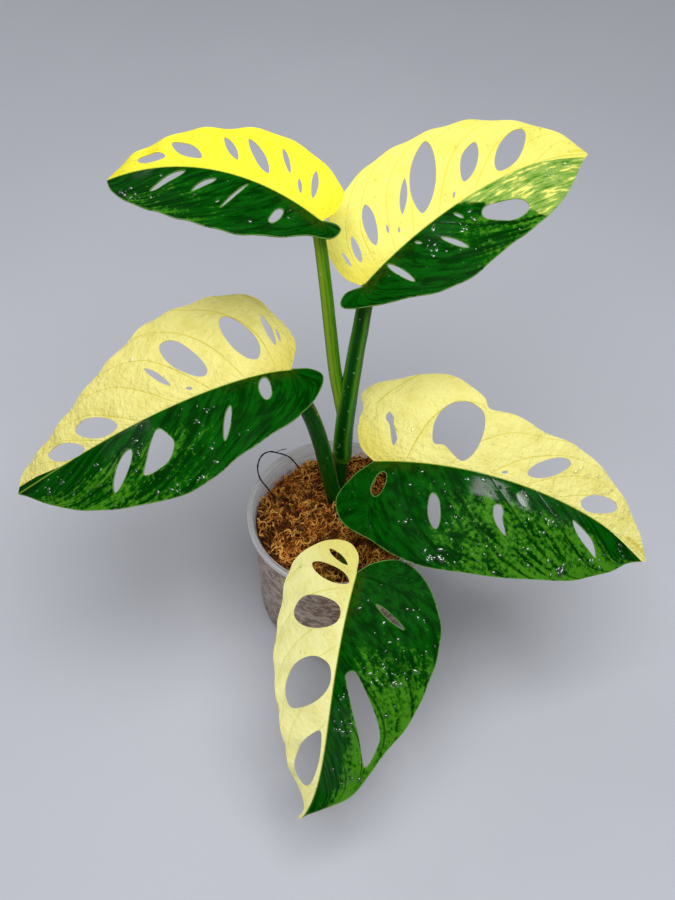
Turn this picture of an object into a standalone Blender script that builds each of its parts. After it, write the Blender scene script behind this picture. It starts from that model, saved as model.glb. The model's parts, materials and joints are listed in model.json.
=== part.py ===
"""Half-moon variegated monstera (Monstera adansonii) in a clear nursery pot.

Five leaves with natural holes grow on sheathed stalks from one short stem, which stands in a
mound of sphagnum moss. Lengths are in metres and angles in degrees, +Z is up, the origin is the
middle of the pot's underside, and the plant's front faces -Y. A leaf's left and right sides are
those of someone who looks from its base to its tip.
"""

import math
from dataclasses import dataclass

import bmesh
import bpy
import numpy as np
from mathutils import Vector
from mathutils.bvhtree import BVHTree
from mathutils.geometry import delaunay_2d_cdt

# ------------------------------------------------------------------ driving dimensions

CLEARANCE = 0.0003          # between two pieces that touch

POT_HEIGHT = 0.092
RIM_OVERHANG = 0.0033       # how far the rim stands out past the wall
RIM_WIDTH = 0.0030          # the ring that shows from above
RIM_DEPTH = 0.0050          # height of the rim's band
WALL = 0.0011
WALL_TOP_RADIUS = 0.0492    # outside of the wall under the rim
FOOT_RADIUS = 0.0488        # outside of the wall, where the corner to the underside starts
FOOT_ROUND = 0.004          # radius of that corner
SLOT_COUNT = 8              # drainage slots round the pot's lower corner
SLOT_WIDTH = 0.0035
SLOT_RISE = 0.007           # how far a slot climbs the wall
SLOT_RUN = 0.009            # how far a slot runs in under the pot
POT_SIDES = 48

MOSS_BELOW_RIM = 0.0065     # from the rim's top to the moss at the pot's wall
MOSS_MOUND = 0.0075         # how much higher the middle of the moss is
MOSS_DIP = 0.010            # how far the moss falls away at the back left
MOSS_TUFT = 0.0006          # height of the tufts on its surface
MOSS_EASE = 0.0001          # the moss's flat sides keep this much more from the pot's
MOSS_SIDES = 40
MOSS_RINGS = (1.0, 0.86, 0.72, 0.57, 0.42, 0.27, 0.12)      # shares of the moss's radius

PLANT_X = 0.004             # where the stem stands
PLANT_Y = 0.017
STEM_ABOVE = 0.031          # from the moss to the stem's top
STEM_BURIED = 0.034
STEM_LOW = (-0.0050, 0.0)   # the stem's lower and upper end, from the plant's foot
STEM_HIGH = (-0.0008, 0.0002)
STEM_RADIUS = 0.0040        # at its top
STEM_TAPER = 1.12           # its lower end is this much thicker

LEAF_THICKNESS = 0.0008
LEAF_GRID = 0.009           # spacing of the points inside a leaf
HOLE_STEP = 0.0045          # spacing of the points round a hole
SMALLEST_HOLE = 0.0015      # narrower slits are left out

ROOT_RADIUS = 0.00045

UP = (0.0, 0.0, 1.0)
LEFTWARD = (0.0, 1.0, 0.0)

PLANT_FOOT = Vector((PLANT_X, PLANT_Y, POT_HEIGHT - MOSS_BELOW_RIM + 0.0025))


@dataclass
class Leaf:
    """One leaf: where its base is, how its midrib runs, its section, its outline and its holes."""
    name: str
    length: float           # along the midrib
    base: tuple             # from the plant's foot
    heading: float          # direction of the midrib at the base, round Z from +X
    pitch: float            # climb of the midrib at the base
    bow: float              # turn of the heading along the leaf
    hook: float             # turn of the heading close to the tip
    droop: float            # fall of the pitch along the leaf
    ease: float             # below 1 the fall comes early, above 1 late
    roll: float             # positive raises the left side
    twist: float            # change of the roll along the leaf
    fold: tuple             # rise of the left and right side from the midrib
    curl: float             # how much a side bends down again, per CURL_SPAN
    left: tuple             # outline from the base notch to the tip: along and across,
    right: tuple            # in hundredths of the leaf's length
    holes: tuple            # along, across, long, wide (hundredths), slant from the tip's way
    uneven_holes: tuple = ()            # outlines of the holes that aren't oval


@dataclass
class Stalk:
    """A leaf's stalk: its way from the piece that it grows out of to the leaf, and its radii."""
    name: str
    foot: tuple             # from the plant's foot, inside the stem or another stalk
    foot_radius: float
    through: tuple          # points between the foot and the leaf
    radii: tuple            # above the foot and below the leaf
    top_radius: float       # where it meets the leaf


CURL_SPAN = 0.05

LEAVES = (
    Leaf(
        "leaf_upper_left", 0.1225, (-0.0104, 0.0049, 0.1992),
        heading=147.8, pitch=23.0, bow=22.3, hook=-21.7, droop=59.3, ease=1.0,
        roll=-12, twist=-6, fold=(8, 8), curl=20,
        left=((-0.5, -0.5), (-5, -2.5), (-8, -1.5), (-7, 4), (0, 9.5), (8, 16.5), (16.5, 21.5),
              (27, 25), (41, 25.5), (53, 24.5), (65.5, 21.5), (77.5, 17), (89, 10), (96.5, 3.5),
              (100, 0)),
        right=((-0.5, -0.5), (-2, -6.5), (0, -14), (5, -17), (16.5, -21), (35, -22.5),
               (49, -19), (61, -17.5), (73.5, -13), (85.5, -9.5), (93, -5.5), (97.5, -2),
               (100, 0)),
        holes=((10, -10, 11.5, 2.5, 64), (14, -6.5, 6.5, 1.5, 53), (23, -13, 10.5, 2, 49),
               (32.5, -10.5, 17, 4, 41), (43.5, -10.5, 13, 3, 45), (60.5, -7.5, 16.5, 5, 24),
               (76, -5, 14.5, 4.5, 3), (14, 10, 7.5, 3.5, 86), (33, 9.5, 14, 1.6, 71),
               (47, 8, 10, 3, 44), (64, 7, 15.5, 4, 36))),
    Leaf(
        "leaf_upper_right", 0.1426, (0.0099, 0.0055, 0.1606),
        heading=36.9, pitch=34.6, bow=-2.6, hook=-18.2, droop=46.8, ease=0.8,
        roll=12, twist=4, fold=(8, 8), curl=20,
        left=((-1, 0), (-3, 7), (-0.5, 17), (5.5, 25), (17.5, 30), (31.5, 32), (43.5, 31),
              (56, 29), (66.5, 26), (77, 20.5), (85.5, 15.5), (93.5, 8.5), (100, 0)),
        right=((-1, 0), (-7, 3), (-11, 0.5), (-5.5, -6.5), (3.5, -13.5), (15.5, -21.5),
               (28, -25), (42, -24), (56, -23), (68.5, -20.5), (79, -16.5), (89, -10),
               (100, 0)),
        holes=((2, 10.5, 6.5, 1.1, 78), (6.5, 10.5, 10, 2.5, 66), (15.5, 13.5, 16, 4.5, 63),
               (30, 13.5, 14, 2.5, 48), (40, 15.5, 29, 8.5, 50), (56, 11, 17.5, 5.5, 41),
               (71.5, 8.5, 21.5, 8, 32), (11, -7, 11.5, 2.4, 80), (31.5, -11.5, 10, 2, 66),
               (54, -12, 17.5, 8.5, 17))),
    Leaf(
        "leaf_left", 0.1636, (-0.0264, -0.0210, 0.1285),
        heading=196.9, pitch=28.0, bow=-8.1, hook=-9.1, droop=68.8, ease=0.35,
        roll=-12, twist=0, fold=(8, 8), curl=20,
        left=((-0.5, -0.5), (-7.5, -1.5), (-11.5, 0.5), (-7.5, 8.5), (0, 16), (9, 20),
              (21.5, 24), (33.5, 28), (43, 28.5), (52, 26.5), (61, 24), (73.5, 18.5),
              (85.5, 10.5), (94.5, 3.5), (100, 0)),
        right=((-0.5, -0.5), (-3, -8), (-2.5, -13), (0.5, -19.5), (3.5, -26.5), (10, -31),
               (18.5, -32.5), (36.5, -32.5), (46, -28.5), (58, -23), (73.5, -15.5),
               (88.5, -9.5), (96.5, -7), (100, 0)),
        holes=((3.5, -14.5, 12, 2, 82), (12, -14, 19, 7.5, 70), (30, -13.5, 20, 7.5, 57),
               (39, -11, 11, 2, 55), (63.5, -5.5, 17, 6.5, 25), (76.5, -3.7, 16.5, 5.5, 22),
               (9, 5.5, 8, 3.5, 82), (22.5, 13, 11, 2, 67), (57.5, 13, 13.5, 4.5, 52)),
        uneven_holes=(((43.1, 5.6), (40.3, 9.5), (39.6, 12.7), (42.5, 17), (47, 18.4), (51.2, 17.4),
                       (49, 13.4), (46.3, 9.2)),)),
    Leaf(
        "leaf_right", 0.1619, (0.0168, -0.0318, 0.0696),
        heading=-10.5, pitch=16.7, bow=-6.8, hook=-9.1, droop=58.7, ease=0.9,
        roll=22, twist=0, fold=(8, 8), curl=20,
        left=((-0.5, 0), (-4.8, 4.5), (-6.4, 10), (-6, 15), (-4.9, 19), (-6.2, 23.8),
              (-2, 27), (11, 30.5), (18.5, 32), (26, 29), (31, 25.5), (33.5, 21.5), (41, 22), (49.5, 19.5),
              (62, 19), (73, 15.5), (85, 9.5), (94, 4), (100, 0)),
        right=((-0.5, 0), (-7.5, -5.5), (-12.5, -12.5), (-10, -20.5), (-1, -26), (9.5, -31),
               (21.5, -33.5), (34, -33), (49.5, -31), (65, -26.5), (77, -21.5),
               (88.5, -12.5), (94.5, -5), (100, 0)),
        holes=((55, 8.5, 15, 5.5, 38), (74.5, 5, 13, 6.2, 24), (2, -8, 8.5, 4.5, 110),
               (22, -15.5, 11.5, 4.2, 76), (49.5, -5, 5, 1.5, 40), (75, -7.5, 15, 3, 26)),
        uneven_holes=(((5.7, 5.2), (4.8, 8.5), (4.1, 12.3), (2.8, 14.5), (3.7, 16.8), (5.2, 15),
                       (5.6, 11.5), (6.9, 7.6)),
                      ((18.5, 6.8), (17.6, 11), (18.5, 16.5), (22, 21), (27, 22.8), (31.2, 20.6),
                       (32.6, 17), (32.8, 12), (31.3, 5.8), (28.2, 2.4), (25, 4), (21.8, 6.5)),
                      ((41.3, -9.6), (43.2, -8.9), (44.6, -10.6), (45, -13), (47.6, -17.6),
                       (43.6, -15.4), (41.6, -12.4)))),
    Leaf(
        "leaf_front", 0.1383, (0.0064, -0.0869, 0.0450),
        heading=-106.5, pitch=-17.9, bow=15.9, hook=-75, droop=42.3, ease=1.0,
        roll=0, twist=0, fold=(4, -20), curl=20,
        left=((-1, 0), (-6, 5), (-9.5, 13.5), (-7, 22.5), (0, 29.5), (11, 35), (23, 36),
              (36, 34), (50.5, 29.5), (65, 20.5), (77.5, 14), (84.5, 7.2), (89.5, 3.2),
              (93, 1), (96.5, -0.1), (100, -1.8)),
        right=((-1, 0), (-8, -1.5), (-12.5, -8), (-11.5, -19), (-4.5, -29), (2, -32),
               (18, -30.5), (36, -28), (54, -22), (72.5, -15), (81.5, -11), (87, -5.2),
               (90.5, -2.2), (93.5, -1.3), (97, -1.6), (100, -1.8)),
        holes=((-6, -9.5, 11.5, 2.5, 118), (0.5, -11.5, 20, 6, 106), (16, -13, 21.5, 13, 88),
               (12.5, 16, 13.5, 2, 60)),
        uneven_holes=(((32.2, -7), (34.5, -2.4), (40.5, -1.3), (46.5, -4.3), (50.8, -9.5),
                       (53.2, -16), (48.5, -19.2), (42.5, -20), (36.5, -17), (32.8, -12)),
                      ((58.6, -2.4), (66, -1.3), (76, -1.8), (82, -3.6), (82.6, -6.8),
                       (79, -9.7), (73, -11), (66, -9.6), (60.8, -6)),
                      ((35.2, 7.4), (36.3, 4.2), (39.5, 4.8), (48, 7.8), (57, 11.4), (68, 15.4),
                       (62, 18.6), (55, 19), (44, 13.8)))),
)

STALKS = (
    Stalk("stalk_upper_right", (-0.0002, 0.0002, STEM_ABOVE), 0.0048,
          ((0.0005, 0.0012, 0.0555), (0.0050, 0.0033, 0.1025), (0.0100, 0.0053, 0.1440)),
          (0.0056, 0.0038), 0.0024),
    Stalk("stalk_left", (-0.0045, 0, -0.022), 0.0030,
          ((-0.0034, -0.0074, -0.004), (-0.0072, -0.0104, 0.0235), (-0.0115, -0.0137, 0.0590),
           (-0.0173, -0.0170, 0.0910)),
          (0.0049, 0.0047), 0.0026),
    Stalk("stalk_upper_left", (0.0010, 0.0022, 0.060), 0.0026,
          ((-0.0021, 0.0036, 0.0830), (-0.0047, 0.0038, 0.1040), (-0.0091, 0.0039, 0.1645)),
          (0.0037, 0.0029), 0.0020),
    Stalk("stalk_right", (-0.0035, 0, -0.012), 0.0028,
          ((0.0040, -0.0030, -0.006), (0.0075, -0.0105, 0.008), (0.0090, -0.0210, 0.030),
           (0.0126, -0.0285, 0.0505)),
          (0.0038, 0.0036), 0.0022),
    Stalk("stalk_front", (-0.0044, 0, -0.027), 0.0028,
          ((-0.0020, -0.0200, -0.020), (0.0000, -0.0400, -0.004), (0.0030, -0.0650, 0.021)),
          (0.0038, 0.0036), 0.0022),
)
STEM_SIDES = 16
STEM_RINGS = 5
STALK_SIDES = 12
STALK_STEP = 0.007          # spacing of a stalk's rings
SOCKET = 0.0001             # the top of a stalk is this much further from the leaf
SEAT_FORWARD = 1.2          # the stalk's top ring lies this many radii in from the leaf's notch
SEAT_SEARCH = 0.005

# a loose loop of aerial root over the pot's rim: shares of the radius inside the wall, bearing
# round Z from +X, and height above the rim
ROOT_WAY = (
    (0.991, 126.4, 0.0005), (1.064, 135.3, 0.0085), (1.113, 140.0, 0.0110),
    (1.131, 145.3, 0.0115), (1.111, 150.9, 0.0100), (1.076, 154.5, 0.0070),
    (1.018, 156.8, 0.0030), (0.934, 157.7, -0.0015),
)
ROOT_START = (0.937, 119.7)         # where it leaves the moss and where it comes back
ROOT_END = (0.850, 156.6)
ROOT_STEP = 0.0025

COLOURS = {
    "pot": ((0.62, 0.60, 0.58), 0.30),
    "moss": ((0.36, 0.17, 0.05), 0.95),
    "stem": ((0.03, 0.14, 0.01), 0.45),
    "stalk": ((0.02, 0.13, 0.01), 0.40),
    "leaf": ((0.02, 0.16, 0.01), 0.35),
    "root": ((0.02, 0.015, 0.012), 0.60),
}


# ------------------------------------------------------------------ helpers

def new_material(name):
    colour, roughness = COLOURS[name]
    material = bpy.data.materials.new(name)
    material.use_nodes = True
    shader = material.node_tree.nodes["Principled BSDF"]
    shader.inputs["Base Color"].default_value = (*colour, 1.0)
    shader.inputs["Roughness"].default_value = roughness
    shader.inputs["Metallic"].default_value = 0.0
    material.diffuse_color = (*colour, 1.0)
    return material


def new_object(name, mesh, material=None):
    obj = bpy.data.objects.new(name, mesh)
    bpy.context.scene.collection.objects.link(obj)
    if material:
        mesh.materials.append(material)
    mesh.shade_smooth()
    mesh.set_sharp_from_angle(angle=math.radians(40))
    return obj


def new_mesh(name, points, faces):
    """A mesh of flat triangles whose normals point outward."""
    mesh = bpy.data.meshes.new(name)
    mesh.from_pydata([tuple(p) for p in points], [], faces)
    shape = bmesh.new()
    shape.from_mesh(mesh)
    bmesh.ops.triangulate(shape, faces=shape.faces)
    bmesh.ops.recalc_face_normals(shape, faces=shape.faces)
    shape.to_mesh(mesh)
    shape.free()
    mesh.update()
    return mesh


def as_cutter(obj):
    obj.hide_render = True
    obj.display_type = "WIRE"
    return obj


def boxes_meet(first, second):
    """Whether the boxes round two objects that stand at the origin meet."""
    lows, highs = [], []
    for obj in (first, second):
        points = np.array([vert.co[:] for vert in obj.data.vertices])
        lows.append(points.min(axis=0))
        highs.append(points.max(axis=0))
    return bool((np.max(lows, axis=0) < np.min(highs, axis=0)).all())


def cut_where_met(obj, cutters):
    """Cut the object by those cutters that reach it."""
    for cutter in cutters:
        if boxes_meet(obj, cutter):
            cut(obj, cutter)


def cut(obj, cutter):
    modifier = obj.modifiers.new("cut_by_" + cutter.name, "BOOLEAN")
    modifier.operation = "DIFFERENCE"
    modifier.solver = "EXACT"
    modifier.object = cutter


def smooth_way(points, steps):
    """A Catmull-Rom curve through the points, with so many steps from one to the next."""
    points = np.array(points, float)
    padded = np.vstack([2 * points[0] - points[1], points, 2 * points[-1] - points[-2]])
    way = []
    for i in range(len(points) - 1):
        before, start, end, after = padded[i:i + 4]
        for t in np.arange(steps) / steps:
            way.append(0.5 * (2 * start + (end - before) * t
                              + (2 * before - 5 * start + 4 * end - after) * t ** 2
                              + (3 * start - before - 3 * end + after) * t ** 3))
    way.append(points[-1])
    return np.array(way)


def even_way(points, step):
    """The same curve with points that lie about one step apart."""
    fine = smooth_way(points, 24)
    run = np.concatenate([[0], np.cumsum(np.linalg.norm(np.diff(fine, axis=0), axis=1))])
    count = max(2, round(run[-1] / step))
    places = np.linspace(0, run[-1], count + 1)
    return np.stack([np.interp(places, run, fine[:, k]) for k in range(fine.shape[1])], axis=1)


def turned(profile, sides):
    """The points and faces of a closed shape turned round Z. It starts and ends on the axis."""
    points = [(0, 0, profile[0][1])]
    rings = profile[1:-1]
    for radius, height in rings:
        for side in range(sides):
            angle = 2 * math.pi * side / sides
            points.append((radius * math.cos(angle), radius * math.sin(angle), height))
    points.append((0, 0, profile[-1][1]))
    faces = []
    last = len(points) - 1
    for side in range(sides):
        after = (side + 1) % sides
        faces.append((0, 1 + side, 1 + after))
        for ring in range(len(rings) - 1):
            low = 1 + ring * sides
            high = low + sides
            faces.append((low + side, high + side, high + after, low + after))
        top = 1 + (len(rings) - 1) * sides
        faces.append((last, top + after, top + side))
    return points, faces


def tube(rings):
    """The points and faces of a closed tube whose rings all have the same number of points."""
    sides = len(rings[0])
    points = [point for ring in rings for point in ring]
    points.append(np.mean(rings[0], axis=0))
    points.append(np.mean(rings[-1], axis=0))
    start, end = len(points) - 2, len(points) - 1
    faces = []
    for side in range(sides):
        after = (side + 1) % sides
        faces.append((start, after, side))
        for ring in range(len(rings) - 1):
            low = ring * sides
            faces.append((low + side, low + after, low + sides + after, low + sides + side))
        top = (len(rings) - 1) * sides
        faces.append((end, top + side, top + after))
    return points, faces


# ------------------------------------------------------------------ pot

def wall_radius(height):
    """Outside radius of the pot's wall at a height."""
    return FOOT_RADIUS + (WALL_TOP_RADIUS - FOOT_RADIUS) * height / POT_HEIGHT


def corner(radius, height, size, steps=4):
    """A quarter round from the underside to the wall, outward and up."""
    arc = []
    for step in range(steps + 1):
        angle = math.radians(90 * step / steps)
        arc.append((radius - size + size * math.sin(angle), height + size - size * math.cos(angle)))
    return arc


def make_pot(material):
    rim_low = POT_HEIGHT - RIM_DEPTH
    rim_radius = WALL_TOP_RADIUS + RIM_OVERHANG
    edge = RIM_DEPTH * 0.25
    outside = corner(FOOT_RADIUS, 0, FOOT_ROUND)
    inside = corner(FOOT_RADIUS - WALL, WALL, FOOT_ROUND - WALL)
    profile = [(0, 0), (FOOT_RADIUS * 0.5, 0)] + outside
    profile += [
        (wall_radius(rim_low), rim_low),
        (rim_radius - edge, rim_low),
        (rim_radius, rim_low + edge),
        (rim_radius, POT_HEIGHT - edge),
        (rim_radius - edge, POT_HEIGHT),
        (rim_radius - RIM_WIDTH, POT_HEIGHT),
        (rim_radius - RIM_WIDTH, rim_low + WALL + edge),
        (wall_radius(rim_low) - WALL, rim_low),
    ]
    profile += inside[::-1] + [(FOOT_RADIUS * 0.5, WALL), (0, WALL)]
    points, faces = turned(profile, POT_SIDES)
    pot = new_object("pot", new_mesh("pot", points, faces), material)
    for slot in range(SLOT_COUNT):
        angle = 2 * math.pi * (slot + 0.5) / SLOT_COUNT
        cut(pot, make_slot_cutter("slot_cutter_%d" % (slot + 1), angle))
    return pot


def make_slot_cutter(name, angle):
    """A block across the pot's lower corner. It stops inside the moss's own clearance."""
    shape = bmesh.new()
    bmesh.ops.create_cube(shape, size=1.0)
    low = -FOOT_ROUND
    inner = FOOT_RADIUS - SLOT_RUN
    outer = FOOT_RADIUS + FOOT_ROUND
    for vert in shape.verts:
        vert.co.x = outer if vert.co.x > 0 else inner
        vert.co.y *= SLOT_WIDTH
        vert.co.z = SLOT_RISE if vert.co.z > 0 else low
    mesh = bpy.data.meshes.new(name)
    shape.to_mesh(mesh)
    shape.free()
    cutter = as_cutter(new_object(name, mesh))
    cutter.rotation_euler.z = angle
    return cutter


# ------------------------------------------------------------------ moss

def moss_height(x, y):
    """Top of the moss: a mound with small tufts that falls away at the back left."""
    reach = wall_radius(POT_HEIGHT) - WALL
    away = min(1.0, math.hypot(x, y) / reach)
    dip_x, dip_y = -0.62 * reach, 0.66 * reach
    dip = math.exp(-((x - dip_x) ** 2 + (y - dip_y) ** 2) / (0.50 * reach) ** 2)
    tufts = math.sin(390 * x + 1.3) * math.sin(430 * y + 0.4) + math.sin(610 * x - 520 * y)
    return (POT_HEIGHT - MOSS_BELOW_RIM + MOSS_MOUND * (1 - away ** 2)
            - MOSS_DIP * dip + MOSS_TUFT * tufts)


def make_moss(material):
    """Moss that fills the pot. Its edge follows the wall wherever the top is low or high."""
    inset = WALL + CLEARANCE
    shoulder = (POT_HEIGHT - MOSS_BELOW_RIM) / 2
    profile = [(0, inset)] + corner(FOOT_RADIUS - inset, inset, FOOT_ROUND - inset)
    profile.append((wall_radius(shoulder) - inset - MOSS_EASE, shoulder))
    profile += [(share, POT_HEIGHT) for share in MOSS_RINGS] + [(0, POT_HEIGHT)]
    points, faces = turned(profile, MOSS_SIDES)
    reach = wall_radius(POT_HEIGHT) - inset
    topped = []
    for x, y, z in points:
        if z == POT_HEIGHT:
            height = moss_height(x * reach, y * reach)
            radius = wall_radius(height) - inset - MOSS_EASE
            x, y, z = x * radius, y * radius, height
        topped.append((x, y, z))
    return new_object("moss", new_mesh("moss", topped, faces), material)


def tree_of(obj):
    """The object's faces, ready for rays. The object stands at the origin."""
    shape = bmesh.new()
    shape.from_mesh(obj.data)
    tree = BVHTree.FromBMesh(shape)
    shape.free()
    return tree


def surface_height(obj, x, y):
    """Height of the object's top surface over a point."""
    return tree_of(obj).ray_cast(Vector((x, y, 1.0)), Vector((0, 0, -1)))[0].z


# ------------------------------------------------------------------ leaves

def midrib_frame(leaf, along):
    """The midrib's direction, the leaf's left and its upper side at points along the midrib."""
    share = np.clip(along, 0, leaf.length) / leaf.length
    heading = np.radians(leaf.heading + leaf.bow * share + leaf.hook * share ** 6)
    pitch = np.radians(leaf.pitch - leaf.droop * share ** leaf.ease)
    roll = np.radians(leaf.roll + leaf.twist * share)[..., None]
    flat = np.zeros_like(heading)
    forward = np.stack([np.cos(pitch) * np.cos(heading),
                        np.cos(pitch) * np.sin(heading), np.sin(pitch)], axis=-1)
    level = np.stack([-np.sin(heading), np.cos(heading), flat], axis=-1)
    left = np.cos(roll) * level + np.sin(roll) * np.cross(forward, level)
    return forward, left, np.cross(forward, left)


def midrib_point(leaf, along):
    """Points on the midrib. Behind the base it runs straight on."""
    count = 200
    stations = np.linspace(0, leaf.length, count + 1)
    middles = (stations[1:] + stations[:-1]) / 2
    steps = midrib_frame(leaf, middles)[0] * leaf.length / count
    way = np.vstack([np.zeros(3), np.cumsum(steps, axis=0)])
    start = midrib_frame(leaf, np.zeros(1))[0][0]
    point = np.stack([np.interp(along, stations, way[:, k]) for k in range(3)], axis=-1)
    point += np.minimum(along, 0)[..., None] * start
    return point + np.array(leaf.base) + np.array(PLANT_FOOT)


def leaf_point(leaf, along, across):
    """Points in the middle of the leaf's thickness."""
    along = np.asarray(along, float)
    across = np.asarray(across, float)
    forward, left, up = midrib_frame(leaf, along)
    flatten = 1 - (np.clip(along, 0, leaf.length) / leaf.length) ** 3
    fold = np.radians(np.where(across > 0, leaf.fold[0], leaf.fold[1])) * flatten
    curl = -np.radians(leaf.curl) / CURL_SPAN * flatten
    curl = np.where(np.abs(curl) < 1e-6, -1e-6, curl)
    reach = np.abs(across)
    out = (np.sin(fold + curl * reach) - np.sin(fold)) / curl
    rise = (np.cos(fold) - np.cos(fold + curl * reach)) / curl
    return midrib_point(leaf, along) + (np.sign(across) * out)[..., None] * left + rise[..., None] * up


def leaf_normal(leaf, along, across):
    """Directions out of the leaf's upper side."""
    tiny = 0.0004
    side = np.where(np.asarray(across, float) >= 0, 1.0, -1.0)
    off = np.where(np.abs(across) < tiny, side * tiny, across)
    here = leaf_point(leaf, along, off)
    ahead = here - leaf_point(leaf, np.asarray(along, float) - tiny, off)
    beside = (leaf_point(leaf, along, off + side * tiny) - here) * side[..., None]
    normal = np.cross(ahead, beside)
    normal /= np.linalg.norm(normal, axis=-1)[..., None]
    middle = midrib_frame(leaf, np.asarray(along, float))[2]
    return np.where((np.abs(across) < tiny)[..., None], middle, normal)


def closed_way(points, steps):
    """A smooth closed curve through the points."""
    around = smooth_way(points[-2:] + points + points[:2], steps)
    return around[2 * steps:(len(points) + 2) * steps]


def leaf_outline(leaf):
    """The leaf's flat outline, anticlockwise from the tip round to the tip."""
    unit = leaf.length / 100
    left = smooth_way(leaf.left, 3)
    right = smooth_way(leaf.right, 3)
    return np.vstack([left[:0:-1], right[:-1]]) * unit


def hole_outline(leaf, hole):
    """An oval hole in the flat leaf. It slants outward and forward on either side."""
    along, across, long, wide, slant = np.array(hole) * (leaf.length / 100)
    angle = math.radians(hole[4]) * math.copysign(1, across)
    count = max(8, round(math.pi * (long + wide) / 2 / HOLE_STEP))
    turn = 2 * np.pi * np.arange(count) / count
    x, y = long / 2 * np.cos(turn), wide / 2 * np.sin(turn)
    return np.stack([along + x * math.cos(angle) - y * math.sin(angle),
                     across + x * math.sin(angle) + y * math.cos(angle)], axis=1)


def leaf_holes(leaf):
    """The outlines of the leaf's holes."""
    unit = leaf.length / 100
    ovals = [hole_outline(leaf, hole) for hole in leaf.holes if hole[3] * unit > SMALLEST_HOLE]
    return ovals + [closed_way(outline, 2) * unit for outline in leaf.uneven_holes]


def is_inside(points, polygon):
    """Which of the points lie inside the polygon."""
    inside = np.zeros(len(points), bool)
    for start, end in zip(polygon, np.roll(polygon, -1, axis=0)):
        crosses = (start[1] > points[:, 1]) != (end[1] > points[:, 1])
        rise = end[1] - start[1]
        if rise:
            where = start[0] + (points[:, 1] - start[1]) / rise * (end[0] - start[0])
            inside ^= crosses & (points[:, 0] < where)
    return inside


def leaf_triangles(leaf):
    """The flat leaf as points and triangles, with its holes open and a line along the midrib."""
    outline = leaf_outline(leaf)
    holes = leaf_holes(leaf)
    points, edges = [], []
    for loop in [outline] + holes:
        first = len(points)
        points += list(loop)
        edges += [(first + i, first + (i + 1) % len(loop)) for i in range(len(loop))]
    rim = np.array(points)

    spine = np.arange(LEAF_GRID, leaf.length - LEAF_GRID / 2, LEAF_GRID)
    spine_points = np.stack([spine, np.zeros_like(spine)], axis=1)
    width = np.abs(outline[:, 1]).max()
    rows = np.arange(LEAF_GRID, width, LEAF_GRID)
    rows = np.concatenate([-rows[::-1], rows])
    columns = np.arange(outline[:, 0].min(), leaf.length, LEAF_GRID)
    grid = np.array([(x, y) for x in columns for y in rows])
    kept = is_inside(grid, outline)
    for hole in holes:
        kept &= ~is_inside(grid, hole)
    distance = np.linalg.norm(grid[:, None] - rim[None], axis=2).min(axis=1)
    grid = grid[kept & (distance > LEAF_GRID * 0.4)]

    first = len(points)
    points += list(spine_points)
    edges += [(first + i, first + i + 1) for i in range(len(spine) - 1)]
    points += list(grid)
    flat = [Vector(p) for p in points]
    verts, _, faces, *_ = delaunay_2d_cdt(flat, edges, [], 0, 1e-7)
    verts = np.array([tuple(v) for v in verts])
    faces = np.array([tuple(f) for f in faces])
    middle = verts[faces].mean(axis=1)
    kept = is_inside(middle, outline)
    for hole in holes:
        kept &= ~is_inside(middle, hole)
    return verts, faces[kept]


def make_leaf(leaf, material):
    flat, triangles = leaf_triangles(leaf)
    used = np.unique(triangles)
    place = {old: new for new, old in enumerate(used)}
    triangles = [tuple(place[corner_] for corner_ in face) for face in triangles]
    along, across = flat[used, 0], flat[used, 1]
    middle = leaf_point(leaf, along, across)
    half = leaf_normal(leaf, along, across) * LEAF_THICKNESS / 2
    points = np.vstack([middle + half, middle - half])
    count = len(used)
    faces = list(triangles)
    faces += [tuple(corner_ + count for corner_ in reversed(face)) for face in triangles]
    sides = {(face[i], face[(i + 1) % 3]) for face in triangles for i in range(3)}
    for start, end in sides:
        if (end, start) not in sides:
            faces.append((start, start + count, end + count, end))
    return new_object(leaf.name, new_mesh(leaf.name, points, faces), material)


# ------------------------------------------------------------------ stem, stalks and root

def round_ring(centre, tangent, ahead_of, radius, sides):
    """A ring across the tangent. Its first point lies on the side away from ahead_of x tangent."""
    forward = np.cross(ahead_of, tangent)
    forward /= np.linalg.norm(forward)
    left = np.cross(tangent, forward)
    ring = []
    for side in range(sides):
        angle = 2 * math.pi * side / sides
        ring.append(centre + radius * (math.cos(angle) * forward + math.sin(angle) * left))
    return ring


def make_stem(material, grow=0.0):
    """The stem as a tapered, slightly leaning post. grow widens it into a cutter."""
    bottom = np.array(PLANT_FOOT) + np.array((*STEM_LOW, -STEM_BURIED - grow))
    top = np.array(PLANT_FOOT) + np.array((*STEM_HIGH, STEM_ABOVE - CLEARANCE + grow))
    rings = []
    for share in np.linspace(0, 1, STEM_RINGS):
        radius = STEM_RADIUS * (STEM_TAPER + (1 - STEM_TAPER) * share) + grow
        centre = bottom + (top - bottom) * share
        rings.append(round_ring(centre, np.array(UP), np.array(LEFTWARD), radius, STEM_SIDES))
    points, faces = tube(rings)
    name = "stem_cutter" if grow else "stem"
    return new_object(name, new_mesh(name, points, faces), material)


def under_leaf(leaf, blade, radius):
    """A ring of points just below the leaf's lower side, at its base."""
    tree = tree_of(blade)
    up = Vector(midrib_frame(leaf, np.zeros(1))[2][0])
    ring = []
    for side in range(STALK_SIDES):
        angle = 2 * math.pi * side / STALK_SIDES
        along = radius * (SEAT_FORWARD + math.cos(angle))
        across = radius * math.sin(angle)
        start = Vector(leaf_point(leaf, along, across)) - up * SEAT_SEARCH
        hit = tree.ray_cast(start, up, 2 * SEAT_SEARCH)[0]
        ring.append(np.array(hit - up * (CLEARANCE + SOCKET)))
    return ring


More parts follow.
